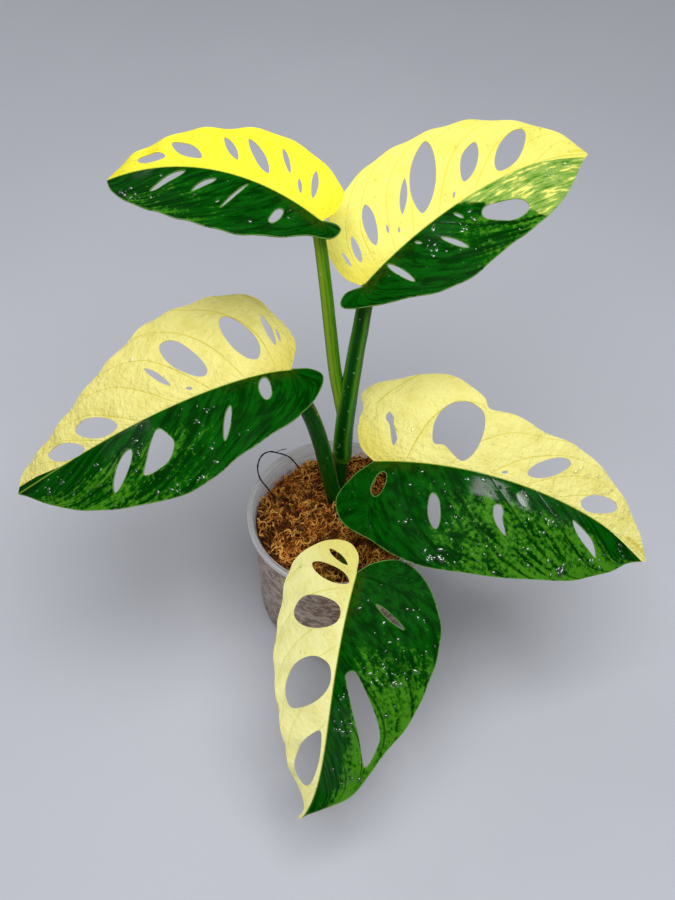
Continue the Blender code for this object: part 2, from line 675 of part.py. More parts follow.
def make_stalk(stalk, leaf, blade, material, grow=0.0):
    """A tapered stalk from its foot to the leaf's lower side. grow widens it into a cutter."""
    foot = np.array(PLANT_FOOT)
    socket = under_leaf(leaf, blade, stalk.top_radius + grow)
    leaf_left = midrib_frame(leaf, np.zeros(1))[1][0]
    top = np.mean(socket, axis=0)
    way = [foot + np.array(point) for point in (stalk.foot,) + stalk.through] + [top]
    way = even_way(way, STALK_STEP)
    tangents = np.gradient(way, axis=0)
    tangents /= np.linalg.norm(tangents, axis=1)[:, None]
    if grow:
        way[0] = way[0] - tangents[0] * grow
    radii = np.linspace(stalk.radii[0], stalk.radii[1], len(way))
    radii[0] = stalk.foot_radius
    radii[-2] = (stalk.radii[1] + stalk.top_radius) / 2
    rings = [round_ring(centre, tangent, leaf_left, radius + grow, STALK_SIDES)
             for centre, tangent, radius in zip(way[:-1], tangents, radii)]
    rings.append(socket)
    points, faces = tube(rings)
    name = stalk.name + ("_cutter" if grow else "")
    return new_object(name, new_mesh(name, points, faces), material)


def point_in_pot(share, bearing, above_rim):
    """A point at a share of the radius inside the pot's wall, at a height above the rim."""
    radius = share * (WALL_TOP_RADIUS - WALL)
    angle = math.radians(bearing)
    return np.array((radius * math.cos(angle), radius * math.sin(angle), POT_HEIGHT + above_rim))


def make_root(moss, material):
    """A loop of root from the moss, out over the rim, and back to the moss."""
    seat = ROOT_RADIUS + CLEARANCE
    start, end = [point_in_pot(share, bearing, 0) for share, bearing in (ROOT_START, ROOT_END)]
    for place in (start, end):
        place[2] = surface_height(moss, place[0], place[1]) + seat
    way = even_way([start] + [point_in_pot(*point) for point in ROOT_WAY] + [end], ROOT_STEP)
    tangents = np.gradient(way, axis=0)
    tangents /= np.linalg.norm(tangents, axis=1)[:, None]
    up = np.array((0.3, 0.2, 1.0))
    rings = [round_ring(centre, tangent, up, ROOT_RADIUS, 6)
             for centre, tangent in zip(way, tangents)]
    points, faces = tube(rings)
    return new_object("wiry_root", new_mesh("wiry_root", points, faces), material)


# ------------------------------------------------------------------ the whole plant

def build():
    for obj in list(bpy.data.objects):
        bpy.data.objects.remove(obj, do_unlink=True)
    materials = {name: new_material(name) for name in COLOURS}
    leaves = {leaf.name.replace("leaf", "stalk"): leaf for leaf in LEAVES}

    make_pot(materials["pot"])
    moss = make_moss(materials["moss"])
    make_root(moss, materials["root"])
    blades = {leaf.name: make_leaf(leaf, materials["leaf"]) for leaf in LEAVES}

    make_stem(materials["stem"])
    cutters = [as_cutter(make_stem(None, grow=CLEARANCE))]
    for stalk in STALKS:
        leaf = leaves[stalk.name]
        blade = blades[leaf.name]
        obj = make_stalk(stalk, leaf, blade, materials["stalk"])
        cut_where_met(obj, cutters)
        cutters.append(as_cutter(make_stalk(stalk, leaf, blade, None, grow=CLEARANCE)))
    cut_where_met(moss, cutters)


build()
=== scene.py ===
"""Looks of the potted half-moon monstera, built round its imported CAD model.

Fine leaves with veins, holes, variegation and water drops, sheathed stalks, curly sphagnum, a
clear pot and the wiry root replace the plain CAD nodes. Lengths are in metres and angles in
degrees. The leaf and stalk data are those of the CAD part.
"""

import json
import math
from dataclasses import dataclass

import bmesh
import bpy
import numpy as np
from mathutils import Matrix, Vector, noise
from mathutils.bvhtree import BVHTree
from mathutils.geometry import delaunay_2d_cdt

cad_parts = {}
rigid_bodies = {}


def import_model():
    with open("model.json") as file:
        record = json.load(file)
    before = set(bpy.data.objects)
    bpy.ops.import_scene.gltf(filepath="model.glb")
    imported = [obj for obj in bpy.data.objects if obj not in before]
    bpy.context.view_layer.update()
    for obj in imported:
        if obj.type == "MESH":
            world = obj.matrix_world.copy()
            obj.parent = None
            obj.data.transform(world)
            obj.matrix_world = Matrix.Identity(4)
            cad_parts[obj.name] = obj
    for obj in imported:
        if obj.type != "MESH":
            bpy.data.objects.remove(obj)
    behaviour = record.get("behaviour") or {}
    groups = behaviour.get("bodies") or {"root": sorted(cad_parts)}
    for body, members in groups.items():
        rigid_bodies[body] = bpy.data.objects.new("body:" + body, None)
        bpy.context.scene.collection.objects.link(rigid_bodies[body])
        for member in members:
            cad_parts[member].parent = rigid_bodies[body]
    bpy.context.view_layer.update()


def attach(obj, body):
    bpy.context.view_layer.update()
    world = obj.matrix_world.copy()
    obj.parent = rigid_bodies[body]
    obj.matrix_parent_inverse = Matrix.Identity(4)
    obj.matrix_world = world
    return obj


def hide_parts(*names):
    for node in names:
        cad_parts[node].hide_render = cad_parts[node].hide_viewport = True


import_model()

# ------------------------------------------------------------------ sizes of the CAD part

CLEARANCE = 0.0003
POT_HEIGHT = 0.092
RIM_OVERHANG = 0.0033
RIM_WIDTH = 0.0030
RIM_DEPTH = 0.0050
WALL = 0.0011
WALL_TOP_RADIUS = 0.0492
FOOT_RADIUS = 0.0488
FOOT_ROUND = 0.004
SLOT_COUNT = 8
SLOT_WIDTH = 0.0035
SLOT_RISE = 0.007
SLOT_RUN = 0.009
MOSS_BELOW_RIM = 0.0065
MOSS_MOUND = 0.0075
MOSS_DIP = 0.010
STEM_ABOVE = 0.031
STEM_BURIED = 0.034
STEM_LOW = (-0.0050, 0.0)
STEM_HIGH = (-0.0008, 0.0002)
STEM_RADIUS = 0.0040
STEM_TAPER = 1.12
SEAT_FORWARD = 1.2
SEAT_SEARCH = 0.005
ROOT_RADIUS = 0.00045
ROOT_SINK = 0.0005          # how deep its ends lie in the moss
CURL_SPAN = 0.05
PLANT_FOOT = Vector((0.004, 0.017, POT_HEIGHT - MOSS_BELOW_RIM + 0.0025))
UP = (0.0, 0.0, 1.0)
LEFTWARD = (0.0, 1.0, 0.0)

# ------------------------------------------------------------------ finer sizes of the looks

LEAF_GRID = 0.0017          # spacing of the points inside a leaf
HOLE_STEP = 0.0012
OUTLINE_STEPS = 9
BLADE = 0.00045             # thickness of a leaf away from its veins
QUILT = 0.0005              # how much a leaf swells between two side veins
MIDRIB_RIDGE = 0.0013       # how far the midrib stands out below
MIDRIB_WIDTH = 0.0011
POOL_DROPS = 9              # drops in a place where they have run together
DROP_RADIUS = 0.00040       # of the smallest drop
DROP_SPREAD = 0.0008        # how much larger the largest is
DROP_FROM_EDGE = 0.0022
POOL_SPREAD = 0.0024
MARGIN_WAVE = 0.0006
MOSS_LUMPS = 0.0042
RIM_EDGE = 0.0009           # radius of the rim's rounded edges
MOULDED_RINGS = (0.0125, 0.079)     # heights of the faint rings on the pot's wall
FLOOR_REACH = 3.0
SEED = 7
rng = np.random.default_rng(SEED)


@dataclass
class Leaf:
    """One leaf's place, bend, outline and holes, as in the CAD part."""
    name: str
    length: float
    base: tuple
    heading: float
    pitch: float
    bow: float
    hook: float
    droop: float
    ease: float
    roll: float
    twist: float
    fold: tuple
    curl: float
    left: tuple
    right: tuple
    holes: tuple
    uneven_holes: tuple = ()


@dataclass
class Look:
    """How one leaf is coloured. The pale side is +1 for the left one, -1 for the right one."""
    pale_side: int
    pale: tuple             # colour of the pale half
    deep: tuple             # the same near the base and along its veins
    mottle: float           # share of the green half with light flecks
    lobe: float             # how steeply the green half's lobe widens behind the base
    spill: tuple            # where along it starts, and how far the pale half crosses the midrib
    wrinkle: float          # height of the wrinkles on the pale half
    film: tuple             # start, end and reach of the wet part, as shares of the length
    drops: int
    pools: tuple            # along, across: where drops have run together
    slits: tuple = ()       # holes too narrow for the CAD part
    marble: float = 100     # along, in hundredths, from where the green half is marbled


@dataclass
class Stalk:
    """A leaf's stalk, as in the CAD part."""
    name: str
    foot: tuple
    foot_radius: float
    through: tuple
    radii: tuple
    top_radius: float


LOOKS = {
    "leaf_upper_left": Look(
        -1, (0.97, 0.90, 0.045), (0.90, 0.76, 0.012), mottle=0.26, lobe=0.6, spill=(0, 0),
        wrinkle=0.05, film=(0.70, 0.85, 0.06), drops=30,
        pools=((75, 16), (83, 12))),
    "leaf_upper_right": Look(
        1, (0.93, 0.87, 0.19), (0.82, 0.70, 0.06), mottle=0.42, lobe=0.6, spill=(0.72, 0.0020),
        marble=43, wrinkle=0.15, film=(0.22, 0.40, 0.10), drops=45,
        pools=((24, -6), (38, -9), (80, -7)),
        slits=((18.5, 8, 3.5, 0.9, 60), (21, 5, 2, 0.8, 50), (43.5, 3.2, 2.8, 0.8, 40),
               (22.5, -3.2, 2.2, 0.8, 60), (39.5, -4.2, 3.5, 1.2, 68))),
    "leaf_left": Look(
        -1, (0.87, 0.79, 0.25), (0.66, 0.56, 0.08), mottle=0.46, lobe=0.6, spill=(0.76, -0.0035),
        wrinkle=0.35, film=(0.43, 0.65, 0.13), drops=80,
        pools=((34, 26), (42, 27), (47, 25.5), (50, 9)),
        slits=((1.2, -12.2, 5, 0.8, 85), (30.5, -2.8, 2.2, 1.0, 30))),
    "leaf_right": Look(
        1, (0.92, 0.85, 0.28), (0.70, 0.60, 0.08), mottle=0.70, lobe=0.0, spill=(0.76, 0.0018),
        wrinkle=0.40, film=(0.30, 0.74, 0.09), drops=110,
        pools=((24, -29.5), (28, -30.5), (50, -5), (53, -9), (61, -9), (70, -22), (82, -11)),
        slits=((42, 2.2, 2.2, 0.9, 20),)),
    "leaf_front": Look(
        -1, (0.99, 0.95, 0.41), (0.82, 0.73, 0.15), mottle=0.76, lobe=0.0, spill=(0, 0),
        wrinkle=0.12, film=(0.44, 0.84, 0.13), drops=110,
        pools=((33, 15), (37, 22), (47, 5.5), (56, 6), (72, 12))),
}

LEAVES = (
    Leaf(
        "leaf_upper_left", 0.1225, (-0.0104, 0.0049, 0.1992),
        heading=147.8, pitch=23.0, bow=22.3, hook=-21.7, droop=59.3, ease=1.0,
        roll=-12, twist=-6, fold=(8, 8), curl=20,
        left=((-0.5, -0.5), (-5, -2.5), (-8, -1.5), (-7, 4), (0, 9.5), (8, 16.5), (16.5, 21.5),
              (27, 25), (41, 25.5), (53, 24.5), (65.5, 21.5), (77.5, 17), (89, 10), (96.5, 3.5),
              (100, 0)),
        right=((-0.5, -0.5), (-2, -6.5), (0, -14), (5, -17), (16.5, -21), (35, -22.5),
               (49, -19), (61, -17.5), (73.5, -13), (85.5, -9.5), (93, -5.5), (97.5, -2),
               (100, 0)),
        holes=((10, -10, 11.5, 2.5, 64), (14, -6.5, 6.5, 1.5, 53), (23, -13, 10.5, 2, 49),
               (32.5, -10.5, 17, 4, 41), (43.5, -10.5, 13, 3, 45), (60.5, -7.5, 16.5, 5, 24),
               (76, -5, 14.5, 4.5, 3), (14, 10, 7.5, 3.5, 86), (33, 9.5, 14, 1.6, 71),
               (47, 8, 10, 3, 44), (64, 7, 15.5, 4, 36))),
    Leaf(
        "leaf_upper_right", 0.1426, (0.0099, 0.0055, 0.1606),
        heading=36.9, pitch=34.6, bow=-2.6, hook=-18.2, droop=46.8, ease=0.8,
        roll=12, twist=4, fold=(8, 8), curl=20,
        left=((-1, 0), (-3, 7), (-0.5, 17), (5.5, 25), (17.5, 30), (31.5, 32), (43.5, 31),
              (56, 29), (66.5, 26), (77, 20.5), (85.5, 15.5), (93.5, 8.5), (100, 0)),
        right=((-1, 0), (-7, 3), (-11, 0.5), (-5.5, -6.5), (3.5, -13.5), (15.5, -21.5),
               (28, -25), (42, -24), (56, -23), (68.5, -20.5), (79, -16.5), (89, -10),
               (100, 0)),
        holes=((2, 10.5, 6.5, 1.1, 78), (6.5, 10.5, 10, 2.5, 66), (15.5, 13.5, 16, 4.5, 63),
               (30, 13.5, 14, 2.5, 48), (40, 15.5, 29, 8.5, 50), (56, 11, 17.5, 5.5, 41),
               (71.5, 8.5, 21.5, 8, 32), (11, -7, 11.5, 2.4, 80), (31.5, -11.5, 10, 2, 66),
               (54, -12, 17.5, 8.5, 17))),
    Leaf(
        "leaf_left", 0.1636, (-0.0264, -0.0210, 0.1285),
        heading=196.9, pitch=28.0, bow=-8.1, hook=-9.1, droop=68.8, ease=0.35,
        roll=-12, twist=0, fold=(8, 8), curl=20,
        left=((-0.5, -0.5), (-7.5, -1.5), (-11.5, 0.5), (-7.5, 8.5), (0, 16), (9, 20),
              (21.5, 24), (33.5, 28), (43, 28.5), (52, 26.5), (61, 24), (73.5, 18.5),
              (85.5, 10.5), (94.5, 3.5), (100, 0)),
        right=((-0.5, -0.5), (-3, -8), (-2.5, -13), (0.5, -19.5), (3.5, -26.5), (10, -31),
               (18.5, -32.5), (36.5, -32.5), (46, -28.5), (58, -23), (73.5, -15.5),
               (88.5, -9.5), (96.5, -7), (100, 0)),
        holes=((3.5, -14.5, 12, 2, 82), (12, -14, 19, 7.5, 70), (30, -13.5, 20, 7.5, 57),
               (39, -11, 11, 2, 55), (63.5, -5.5, 17, 6.5, 25), (76.5, -3.7, 16.5, 5.5, 22),
               (9, 5.5, 8, 3.5, 82), (22.5, 13, 11, 2, 67), (57.5, 13, 13.5, 4.5, 52)),
        uneven_holes=(((43.1, 5.6), (40.3, 9.5), (39.6, 12.7), (42.5, 17), (47, 18.4), (51.2, 17.4),
                       (49, 13.4), (46.3, 9.2)),)),
    Leaf(
        "leaf_right", 0.1619, (0.0168, -0.0318, 0.0696),
        heading=-10.5, pitch=16.7, bow=-6.8, hook=-9.1, droop=58.7, ease=0.9,
        roll=22, twist=0, fold=(8, 8), curl=20,
        left=((-0.5, 0), (-4.8, 4.5), (-6.4, 10), (-6, 15), (-4.9, 19), (-6.2, 23.8),
              (-2, 27), (11, 30.5), (18.5, 32), (26, 29), (31, 25.5), (33.5, 21.5), (41, 22), (49.5, 19.5),
              (62, 19), (73, 15.5), (85, 9.5), (94, 4), (100, 0)),
        right=((-0.5, 0), (-7.5, -5.5), (-12.5, -12.5), (-10, -20.5), (-1, -26), (9.5, -31),
               (21.5, -33.5), (34, -33), (49.5, -31), (65, -26.5), (77, -21.5),
               (88.5, -12.5), (94.5, -5), (100, 0)),
        holes=((55, 8.5, 15, 5.5, 38), (74.5, 5, 13, 6.2, 24), (2, -8, 8.5, 4.5, 110),
               (22, -15.5, 11.5, 4.2, 76), (49.5, -5, 5, 1.5, 40), (75, -7.5, 15, 3, 26)),
        uneven_holes=(((5.7, 5.2), (4.8, 8.5), (4.1, 12.3), (2.8, 14.5), (3.7, 16.8), (5.2, 15),
                       (5.6, 11.5), (6.9, 7.6)),
                      ((18.5, 6.8), (17.6, 11), (18.5, 16.5), (22, 21), (27, 22.8), (31.2, 20.6),
                       (32.6, 17), (32.8, 12), (31.3, 5.8), (28.2, 2.4), (25, 4), (21.8, 6.5)),
                      ((41.3, -9.6), (43.2, -8.9), (44.6, -10.6), (45, -13), (47.6, -17.6),
                       (43.6, -15.4), (41.6, -12.4)))),
    Leaf(
        "leaf_front", 0.1383, (0.0064, -0.0869, 0.0450),
        heading=-106.5, pitch=-17.9, bow=15.9, hook=-75, droop=42.3, ease=1.0,
        roll=0, twist=0, fold=(4, -20), curl=20,
        left=((-1, 0), (-6, 5), (-9.5, 13.5), (-7, 22.5), (0, 29.5), (11, 35), (23, 36),
              (36, 34), (50.5, 29.5), (65, 20.5), (77.5, 14), (84.5, 7.2), (89.5, 3.2),
              (93, 1), (96.5, -0.1), (100, -1.8)),
        right=((-1, 0), (-8, -1.5), (-12.5, -8), (-11.5, -19), (-4.5, -29), (2, -32),
               (18, -30.5), (36, -28), (54, -22), (72.5, -15), (81.5, -11), (87, -5.2),
               (90.5, -2.2), (93.5, -1.3), (97, -1.6), (100, -1.8)),
        holes=((-6, -9.5, 11.5, 2.5, 118), (0.5, -11.5, 20, 6, 106), (16, -13, 21.5, 13, 88),
               (12.5, 16, 13.5, 2, 60)),
        uneven_holes=(((32.2, -7), (34.5, -2.4), (40.5, -1.3), (46.5, -4.3), (50.8, -9.5),
                       (53.2, -16), (48.5, -19.2), (42.5, -20), (36.5, -17), (32.8, -12)),
                      ((58.6, -2.4), (66, -1.3), (76, -1.8), (82, -3.6), (82.6, -6.8),
                       (79, -9.7), (73, -11), (66, -9.6), (60.8, -6)),
                      ((35.2, 7.4), (36.3, 4.2), (39.5, 4.8), (48, 7.8), (57, 11.4), (68, 15.4),
                       (62, 18.6), (55, 19), (44, 13.8)))),
)

STALKS = (
    Stalk("stalk_upper_right", (-0.0002, 0.0002, STEM_ABOVE), 0.0048,
          ((0.0005, 0.0012, 0.0555), (0.0050, 0.0033, 0.1025), (0.0100, 0.0053, 0.1440)),
          (0.0056, 0.0038), 0.0024),
    Stalk("stalk_left", (-0.0045, 0, -0.022), 0.0030,
          ((-0.0034, -0.0074, -0.004), (-0.0072, -0.0104, 0.0235), (-0.0115, -0.0137, 0.0590),
           (-0.0173, -0.0170, 0.0910)),
          (0.0049, 0.0047), 0.0026),
    Stalk("stalk_upper_left", (0.0010, 0.0022, 0.060), 0.0026,
          ((-0.0021, 0.0036, 0.0830), (-0.0047, 0.0038, 0.1040), (-0.0091, 0.0039, 0.1645)),
          (0.0037, 0.0029), 0.0020),
    Stalk("stalk_right", (-0.0035, 0, -0.012), 0.0028,
          ((0.0040, -0.0030, -0.006), (0.0075, -0.0105, 0.008), (0.0090, -0.0210, 0.030),
           (0.0126, -0.0285, 0.0505)),
          (0.0038, 0.0036), 0.0022),
    Stalk("stalk_front", (-0.0044, 0, -0.027), 0.0028,
          ((-0.0020, -0.0200, -0.020), (0.0000, -0.0400, -0.004), (0.0030, -0.0650, 0.021)),
          (0.0038, 0.0036), 0.0022),
)

# a loose loop of aerial root over the pot's rim: shares of the radius inside the wall, bearing
# round Z from +X, and height above the rim
ROOT_WAY = (
    (0.991, 126.4, 0.0005), (1.064, 135.3, 0.0085), (1.113, 140.0, 0.0110),
    (1.131, 145.3, 0.0115), (1.111, 150.9, 0.0100), (1.076, 154.5, 0.0070),
    (1.018, 156.8, 0.0030), (0.934, 157.7, -0.0015),
)
ROOT_START = (0.937, 119.7)         # where it leaves the moss and where it comes back
ROOT_END = (0.850, 156.6)


# ------------------------------------------------------------------ helpers

def new_object(name, mesh, material=None):
    """An object of the mesh, smooth but for its sharp corners, in the scene."""
    obj = bpy.data.objects.new(name, mesh)
    bpy.context.scene.collection.objects.link(obj)
    if material:
        mesh.materials.append(material)
    mesh.shade_smooth()
    mesh.set_sharp_from_angle(angle=math.radians(50))
    return obj


def new_mesh(name, points, faces):
    """A mesh of the points and faces, with the faces turned the same way round."""
    mesh = bpy.data.meshes.new(name)
    mesh.from_pydata([tuple(p) for p in points], [], [tuple(int(i) for i in f) for f in faces])
    shape = bmesh.new()
    shape.from_mesh(mesh)
    bmesh.ops.recalc_face_normals(shape, faces=shape.faces)
    shape.to_mesh(mesh)
    shape.free()
    mesh.update()
    return mesh


def smooth_way(points, steps):
    """A Catmull-Rom curve through the points, with so many steps from one to the next."""
    points = np.array(points, float)
    padded = np.vstack([2 * points[0] - points[1], points, 2 * points[-1] - points[-2]])
    way = []
    for i in range(len(points) - 1):
        before, start, end, after = padded[i:i + 4]
        for t in np.arange(steps) / steps:
            way.append(0.5 * (2 * start + (end - before) * t
                              + (2 * before - 5 * start + 4 * end - after) * t ** 2
                              + (3 * start - before - 3 * end + after) * t ** 3))
    way.append(points[-1])
    return np.array(way)


def even_way(points, step):
    """The same curve with points that lie about one step apart."""
    fine = smooth_way(points, 24)
    run = np.concatenate([[0], np.cumsum(np.linalg.norm(np.diff(fine, axis=0), axis=1))])
    count = max(2, round(run[-1] / step))
    places = np.linspace(0, run[-1], count + 1)
    return np.stack([np.interp(places, run, fine[:, k]) for k in range(fine.shape[1])], axis=1)


def closed_way(points, steps):
    """A smooth closed curve through the points."""
    around = smooth_way(points[-2:] + points + points[:2], steps)
    return around[2 * steps:(len(points) + 2) * steps]


def turned(profile, sides):
    """The points and faces of a closed shape turned round Z. It starts and ends on the axis."""
    points = [(0, 0, profile[0][1])]
    rings = profile[1:-1]
    for radius, height in rings:
        for side in range(sides):
            angle = 2 * math.pi * side / sides
            points.append((radius * math.cos(angle), radius * math.sin(angle), height))
    points.append((0, 0, profile[-1][1]))
    faces = []
    last = len(points) - 1
    for side in range(sides):
        after = (side + 1) % sides
        faces.append((0, 1 + side, 1 + after))
        for ring in range(len(rings) - 1):
            low = 1 + ring * sides
            high = low + sides
            faces.append((low + side, high + side, high + after, low + after))
        top = 1 + (len(rings) - 1) * sides
        faces.append((last, top + after, top + side))
    return points, faces


def tube(rings):
    """The points and faces of a closed tube whose rings all have the same number of points."""
    sides = len(rings[0])
    points = [point for ring in rings for point in ring]
    points.append(np.mean(rings[0], axis=0))
    points.append(np.mean(rings[-1], axis=0))
    start, end = len(points) - 2, len(points) - 1
    faces = []
    for side in range(sides):
        after = (side + 1) % sides
        faces.append((start, after, side))
        for ring in range(len(rings) - 1):
            low = ring * sides
            faces.append((low + side, low + after, low + sides + after, low + sides + side))
        top = (len(rings) - 1) * sides
        faces.append((end, top + side, top + after))
    return points, faces


def add_shape(points, faces, shape):
    """Adds one shape's points and faces to those of a larger one."""
    first = len(points)
    points += list(shape[0])
    faces += [tuple(first + i for i in face) for face in shape[1]]


def directions(way):
    """The direction of a curve at each of its points."""
    ahead = np.gradient(way, axis=0)
    return ahead / np.maximum(np.linalg.norm(ahead, axis=1), 1e-9)[:, None]


# ------------------------------------------------------------------ leaf shapes

def midrib_frame(leaf, along):
    """The midrib's direction, the leaf's left and its upper side at points along the midrib."""
    share = np.clip(along, 0, leaf.length) / leaf.length
    heading = np.radians(leaf.heading + leaf.bow * share + leaf.hook * share ** 6)
    pitch = np.radians(leaf.pitch - leaf.droop * share ** leaf.ease)
    roll = np.radians(leaf.roll + leaf.twist * share)[..., None]
    flat = np.zeros_like(heading)
    forward = np.stack([np.cos(pitch) * np.cos(heading),
                        np.cos(pitch) * np.sin(heading), np.sin(pitch)], axis=-1)
    level = np.stack([-np.sin(heading), np.cos(heading), flat], axis=-1)
    left = np.cos(roll) * level + np.sin(roll) * np.cross(forward, level)
    return forward, left, np.cross(forward, left)


def midrib_point(leaf, along):
    """Points on the midrib. Behind the base it runs straight on."""
    count = 200
    stations = np.linspace(0, leaf.length, count + 1)
    middles = (stations[1:] + stations[:-1]) / 2
    steps = midrib_frame(leaf, middles)[0] * leaf.length / count
    way = np.vstack([np.zeros(3), np.cumsum(steps, axis=0)])
    start = midrib_frame(leaf, np.zeros(1))[0][0]
    point = np.stack([np.interp(along, stations, way[:, k]) for k in range(3)], axis=-1)
    point += np.minimum(along, 0)[..., None] * start
    return point + np.array(leaf.base) + np.array(PLANT_FOOT)


def leaf_point(leaf, along, across):
    """Points in the middle of the leaf's thickness."""
    along = np.asarray(along, float)
    across = np.asarray(across, float)
    _, left, up = midrib_frame(leaf, along)
    flatten = 1 - (np.clip(along, 0, leaf.length) / leaf.length) ** 3
    fold = np.radians(np.where(across > 0, leaf.fold[0], leaf.fold[1])) * flatten
    curl = -np.radians(leaf.curl) / CURL_SPAN * flatten
    curl = np.where(np.abs(curl) < 1e-6, -1e-6, curl)
    reach = np.abs(across)
    out = (np.sin(fold + curl * reach) - np.sin(fold)) / curl
    rise = (np.cos(fold) - np.cos(fold + curl * reach)) / curl
    return midrib_point(leaf, along) + (np.sign(across) * out)[..., None] * left + rise[..., None] * up


def leaf_normal(leaf, along, across):
    """Directions out of the leaf's upper side."""
    tiny = 0.0004
    side = np.where(np.asarray(across, float) >= 0, 1.0, -1.0)
    off = np.where(np.abs(across) < tiny, side * tiny, across)
    here = leaf_point(leaf, along, off)
    ahead = here - leaf_point(leaf, np.asarray(along, float) - tiny, off)
    beside = (leaf_point(leaf, along, off + side * tiny) - here) * side[..., None]
    normal = np.cross(ahead, beside)
    normal /= np.linalg.norm(normal, axis=-1)[..., None]
    middle = midrib_frame(leaf, np.asarray(along, float))[2]
    return np.where((np.abs(across) < tiny)[..., None], middle, normal)


def leaf_outline(leaf, steps=OUTLINE_STEPS):
    """The leaf's flat outline, anticlockwise from the tip round to the tip."""
    unit = leaf.length / 100
    left = smooth_way(leaf.left, steps)
    right = smooth_way(leaf.right, steps)
    return np.vstack([left[:0:-1], right[:-1]]) * unit


def hole_outline(leaf, hole, number):
    """An uneven oval hole in the flat leaf. It slants outward and forward on either side."""
    *sizes, slant = hole
    along, across, long, wide = np.array(sizes) * (leaf.length / 100)
    angle = math.radians(slant) * math.copysign(1, across)
    count = max(10, round(math.pi * (long + wide) / 2 / HOLE_STEP))
    turn = 2 * np.pi * np.arange(count) / count
    uneven = 1 + 0.05 * np.sin(2 * turn + number) + 0.035 * np.sin(3 * turn + 2.1 * number)
    slender = max(0.0, 1 - 2.2 * wide / long)
    taper = np.abs(np.sin(turn)) ** (0.7 * slender)
    x = long / 2 * np.cos(turn)
    y = wide / 2 * np.sin(turn) * uneven * taper
    return np.stack([along + x * math.cos(angle) - y * math.sin(angle),
                     across + x * math.sin(angle) + y * math.cos(angle)], axis=1)


def is_inside(points, polygon):
    """Which of the points lie inside the polygon."""
    inside = np.zeros(len(points), bool)
    for start, end in zip(polygon, np.roll(polygon, -1, axis=0)):
        crosses = (start[1] > points[:, 1]) != (end[1] > points[:, 1])
        rise = end[1] - start[1]
        if rise:
            where = start[0] + (points[:, 1] - start[1]) / rise * (end[0] - start[0])
            inside ^= crosses & (points[:, 0] < where)
    return inside


def distance_to(points, others):
    """How far each point is from the nearest of the others."""
    parts = np.array_split(points, max(1, len(points) // 500))
    return np.concatenate([np.linalg.norm(part[:, None] - others[None], axis=2).min(axis=1)
                           for part in parts])


def leaf_holes(leaf):
    """The outlines of the leaf's holes and slits."""
    holes = leaf.holes + LOOKS[leaf.name].slits
    ovals = [hole_outline(leaf, hole, number) for number, hole in enumerate(holes)]
    return ovals + [closed_way(outline, 4) * (leaf.length / 100) for outline in leaf.uneven_holes]


def hole_middles(leaf, side):
    """Middles of the holes in one half."""
    middles = [hole[:2] for hole in leaf.holes]
    middles += [np.mean(outline, axis=0) for outline in leaf.uneven_holes]
    return np.array([middle for middle in middles if middle[1] * side > 0]) * (leaf.length / 100)


def leaf_triangles(leaf):
    """The flat leaf as points and triangles, with its holes open and lines along the midrib."""
    outline = leaf_outline(leaf)
    holes = leaf_holes(leaf)
    points, edges = [], []
    for loop in [outline] + holes:
        first = len(points)
        points += list(loop)
        edges += [(first + i, first + (i + 1) % len(loop)) for i in range(len(loop))]
    rim = np.array(points)

    spine = np.arange(LEAF_GRID, leaf.length - LEAF_GRID / 2, LEAF_GRID)
    first = len(points)
    points += [(x, 0.0) for x in spine]
    edges += [(first + i, first + i + 1) for i in range(len(spine) - 1)]

    width = np.abs(outline[:, 1]).max()
    beside = np.array([0.45, 1.0, 1.7]) * MIDRIB_WIDTH
    rows = np.arange(beside[-1] + LEAF_GRID * 0.7, width, LEAF_GRID * 0.87)
    rows = np.concatenate([-rows[::-1], -beside[::-1], beside, rows])
    columns = np.arange(outline[:, 0].min(), leaf.length, LEAF_GRID)
    grid = np.array([(x + LEAF_GRID / 2 * (row % 2), y)
                     for row, y in enumerate(rows) for x in columns])
    kept = is_inside(grid, outline)
    for hole in holes:
        kept &= ~is_inside(grid, hole)
    grid = grid[kept]
    grid = grid[distance_to(grid, rim) > HOLE_STEP * 0.45]
    points += list(grid)

    flat = [Vector(p) for p in points]
    verts, _, faces, *_ = delaunay_2d_cdt(flat, edges, [], 0, 1e-7)
    verts = np.array([tuple(v) for v in verts])
    faces = np.array([tuple(f) for f in faces])
    middle = verts[faces].mean(axis=1)
    kept = is_inside(middle, outline)
    for hole in holes:
        kept &= ~is_inside(middle, hole)
    faces = faces[kept]
    used, places = np.unique(faces, return_inverse=True)
    return verts[used], places.reshape(faces.shape), rim


# A side vein is named by where it leaves the midrib, in hundredths of the leaf's length. Behind
# the base the veins fan out of one point, and their names go on below zero.
VEIN_SPACING = 13.0
VEIN_BEND = 20.0            # how far a vein has turned to the tip where it reaches the margin


def vein_slant(origin):
    """The angle, from the tip's way, at which a side vein leaves the midrib."""
    return np.radians(np.where(origin >= 0, 20 + 67 * np.exp(-0.03 * np.maximum(origin, 0)),
                               87 - 3.7 * origin))


def vein_origin(leaf, along, across):
    """The side vein that goes through each point, found by halving."""
    unit = leaf.length / 100
    outline = leaf_outline(leaf) / unit
    u, w = along / unit, np.abs(across) / unit
    half = np.where(across > 0, half_width(outline, u, 1), half_width(outline, u, -1))
    u = u - VEIN_BEND * np.clip(w / half, 0, 1) ** 4
    low, high = np.full(len(u), -25.0), np.full(len(u), 100.0)
    for _ in range(20):
        origin = (low + high) / 2
        slant = vein_slant(origin)
        ahead = (u - np.maximum(origin, 0)) * np.sin(slant) - w * np.cos(slant) > 0
        low, high = np.where(ahead, origin, low), np.where(ahead, high, origin)
    return (low + high) / 2


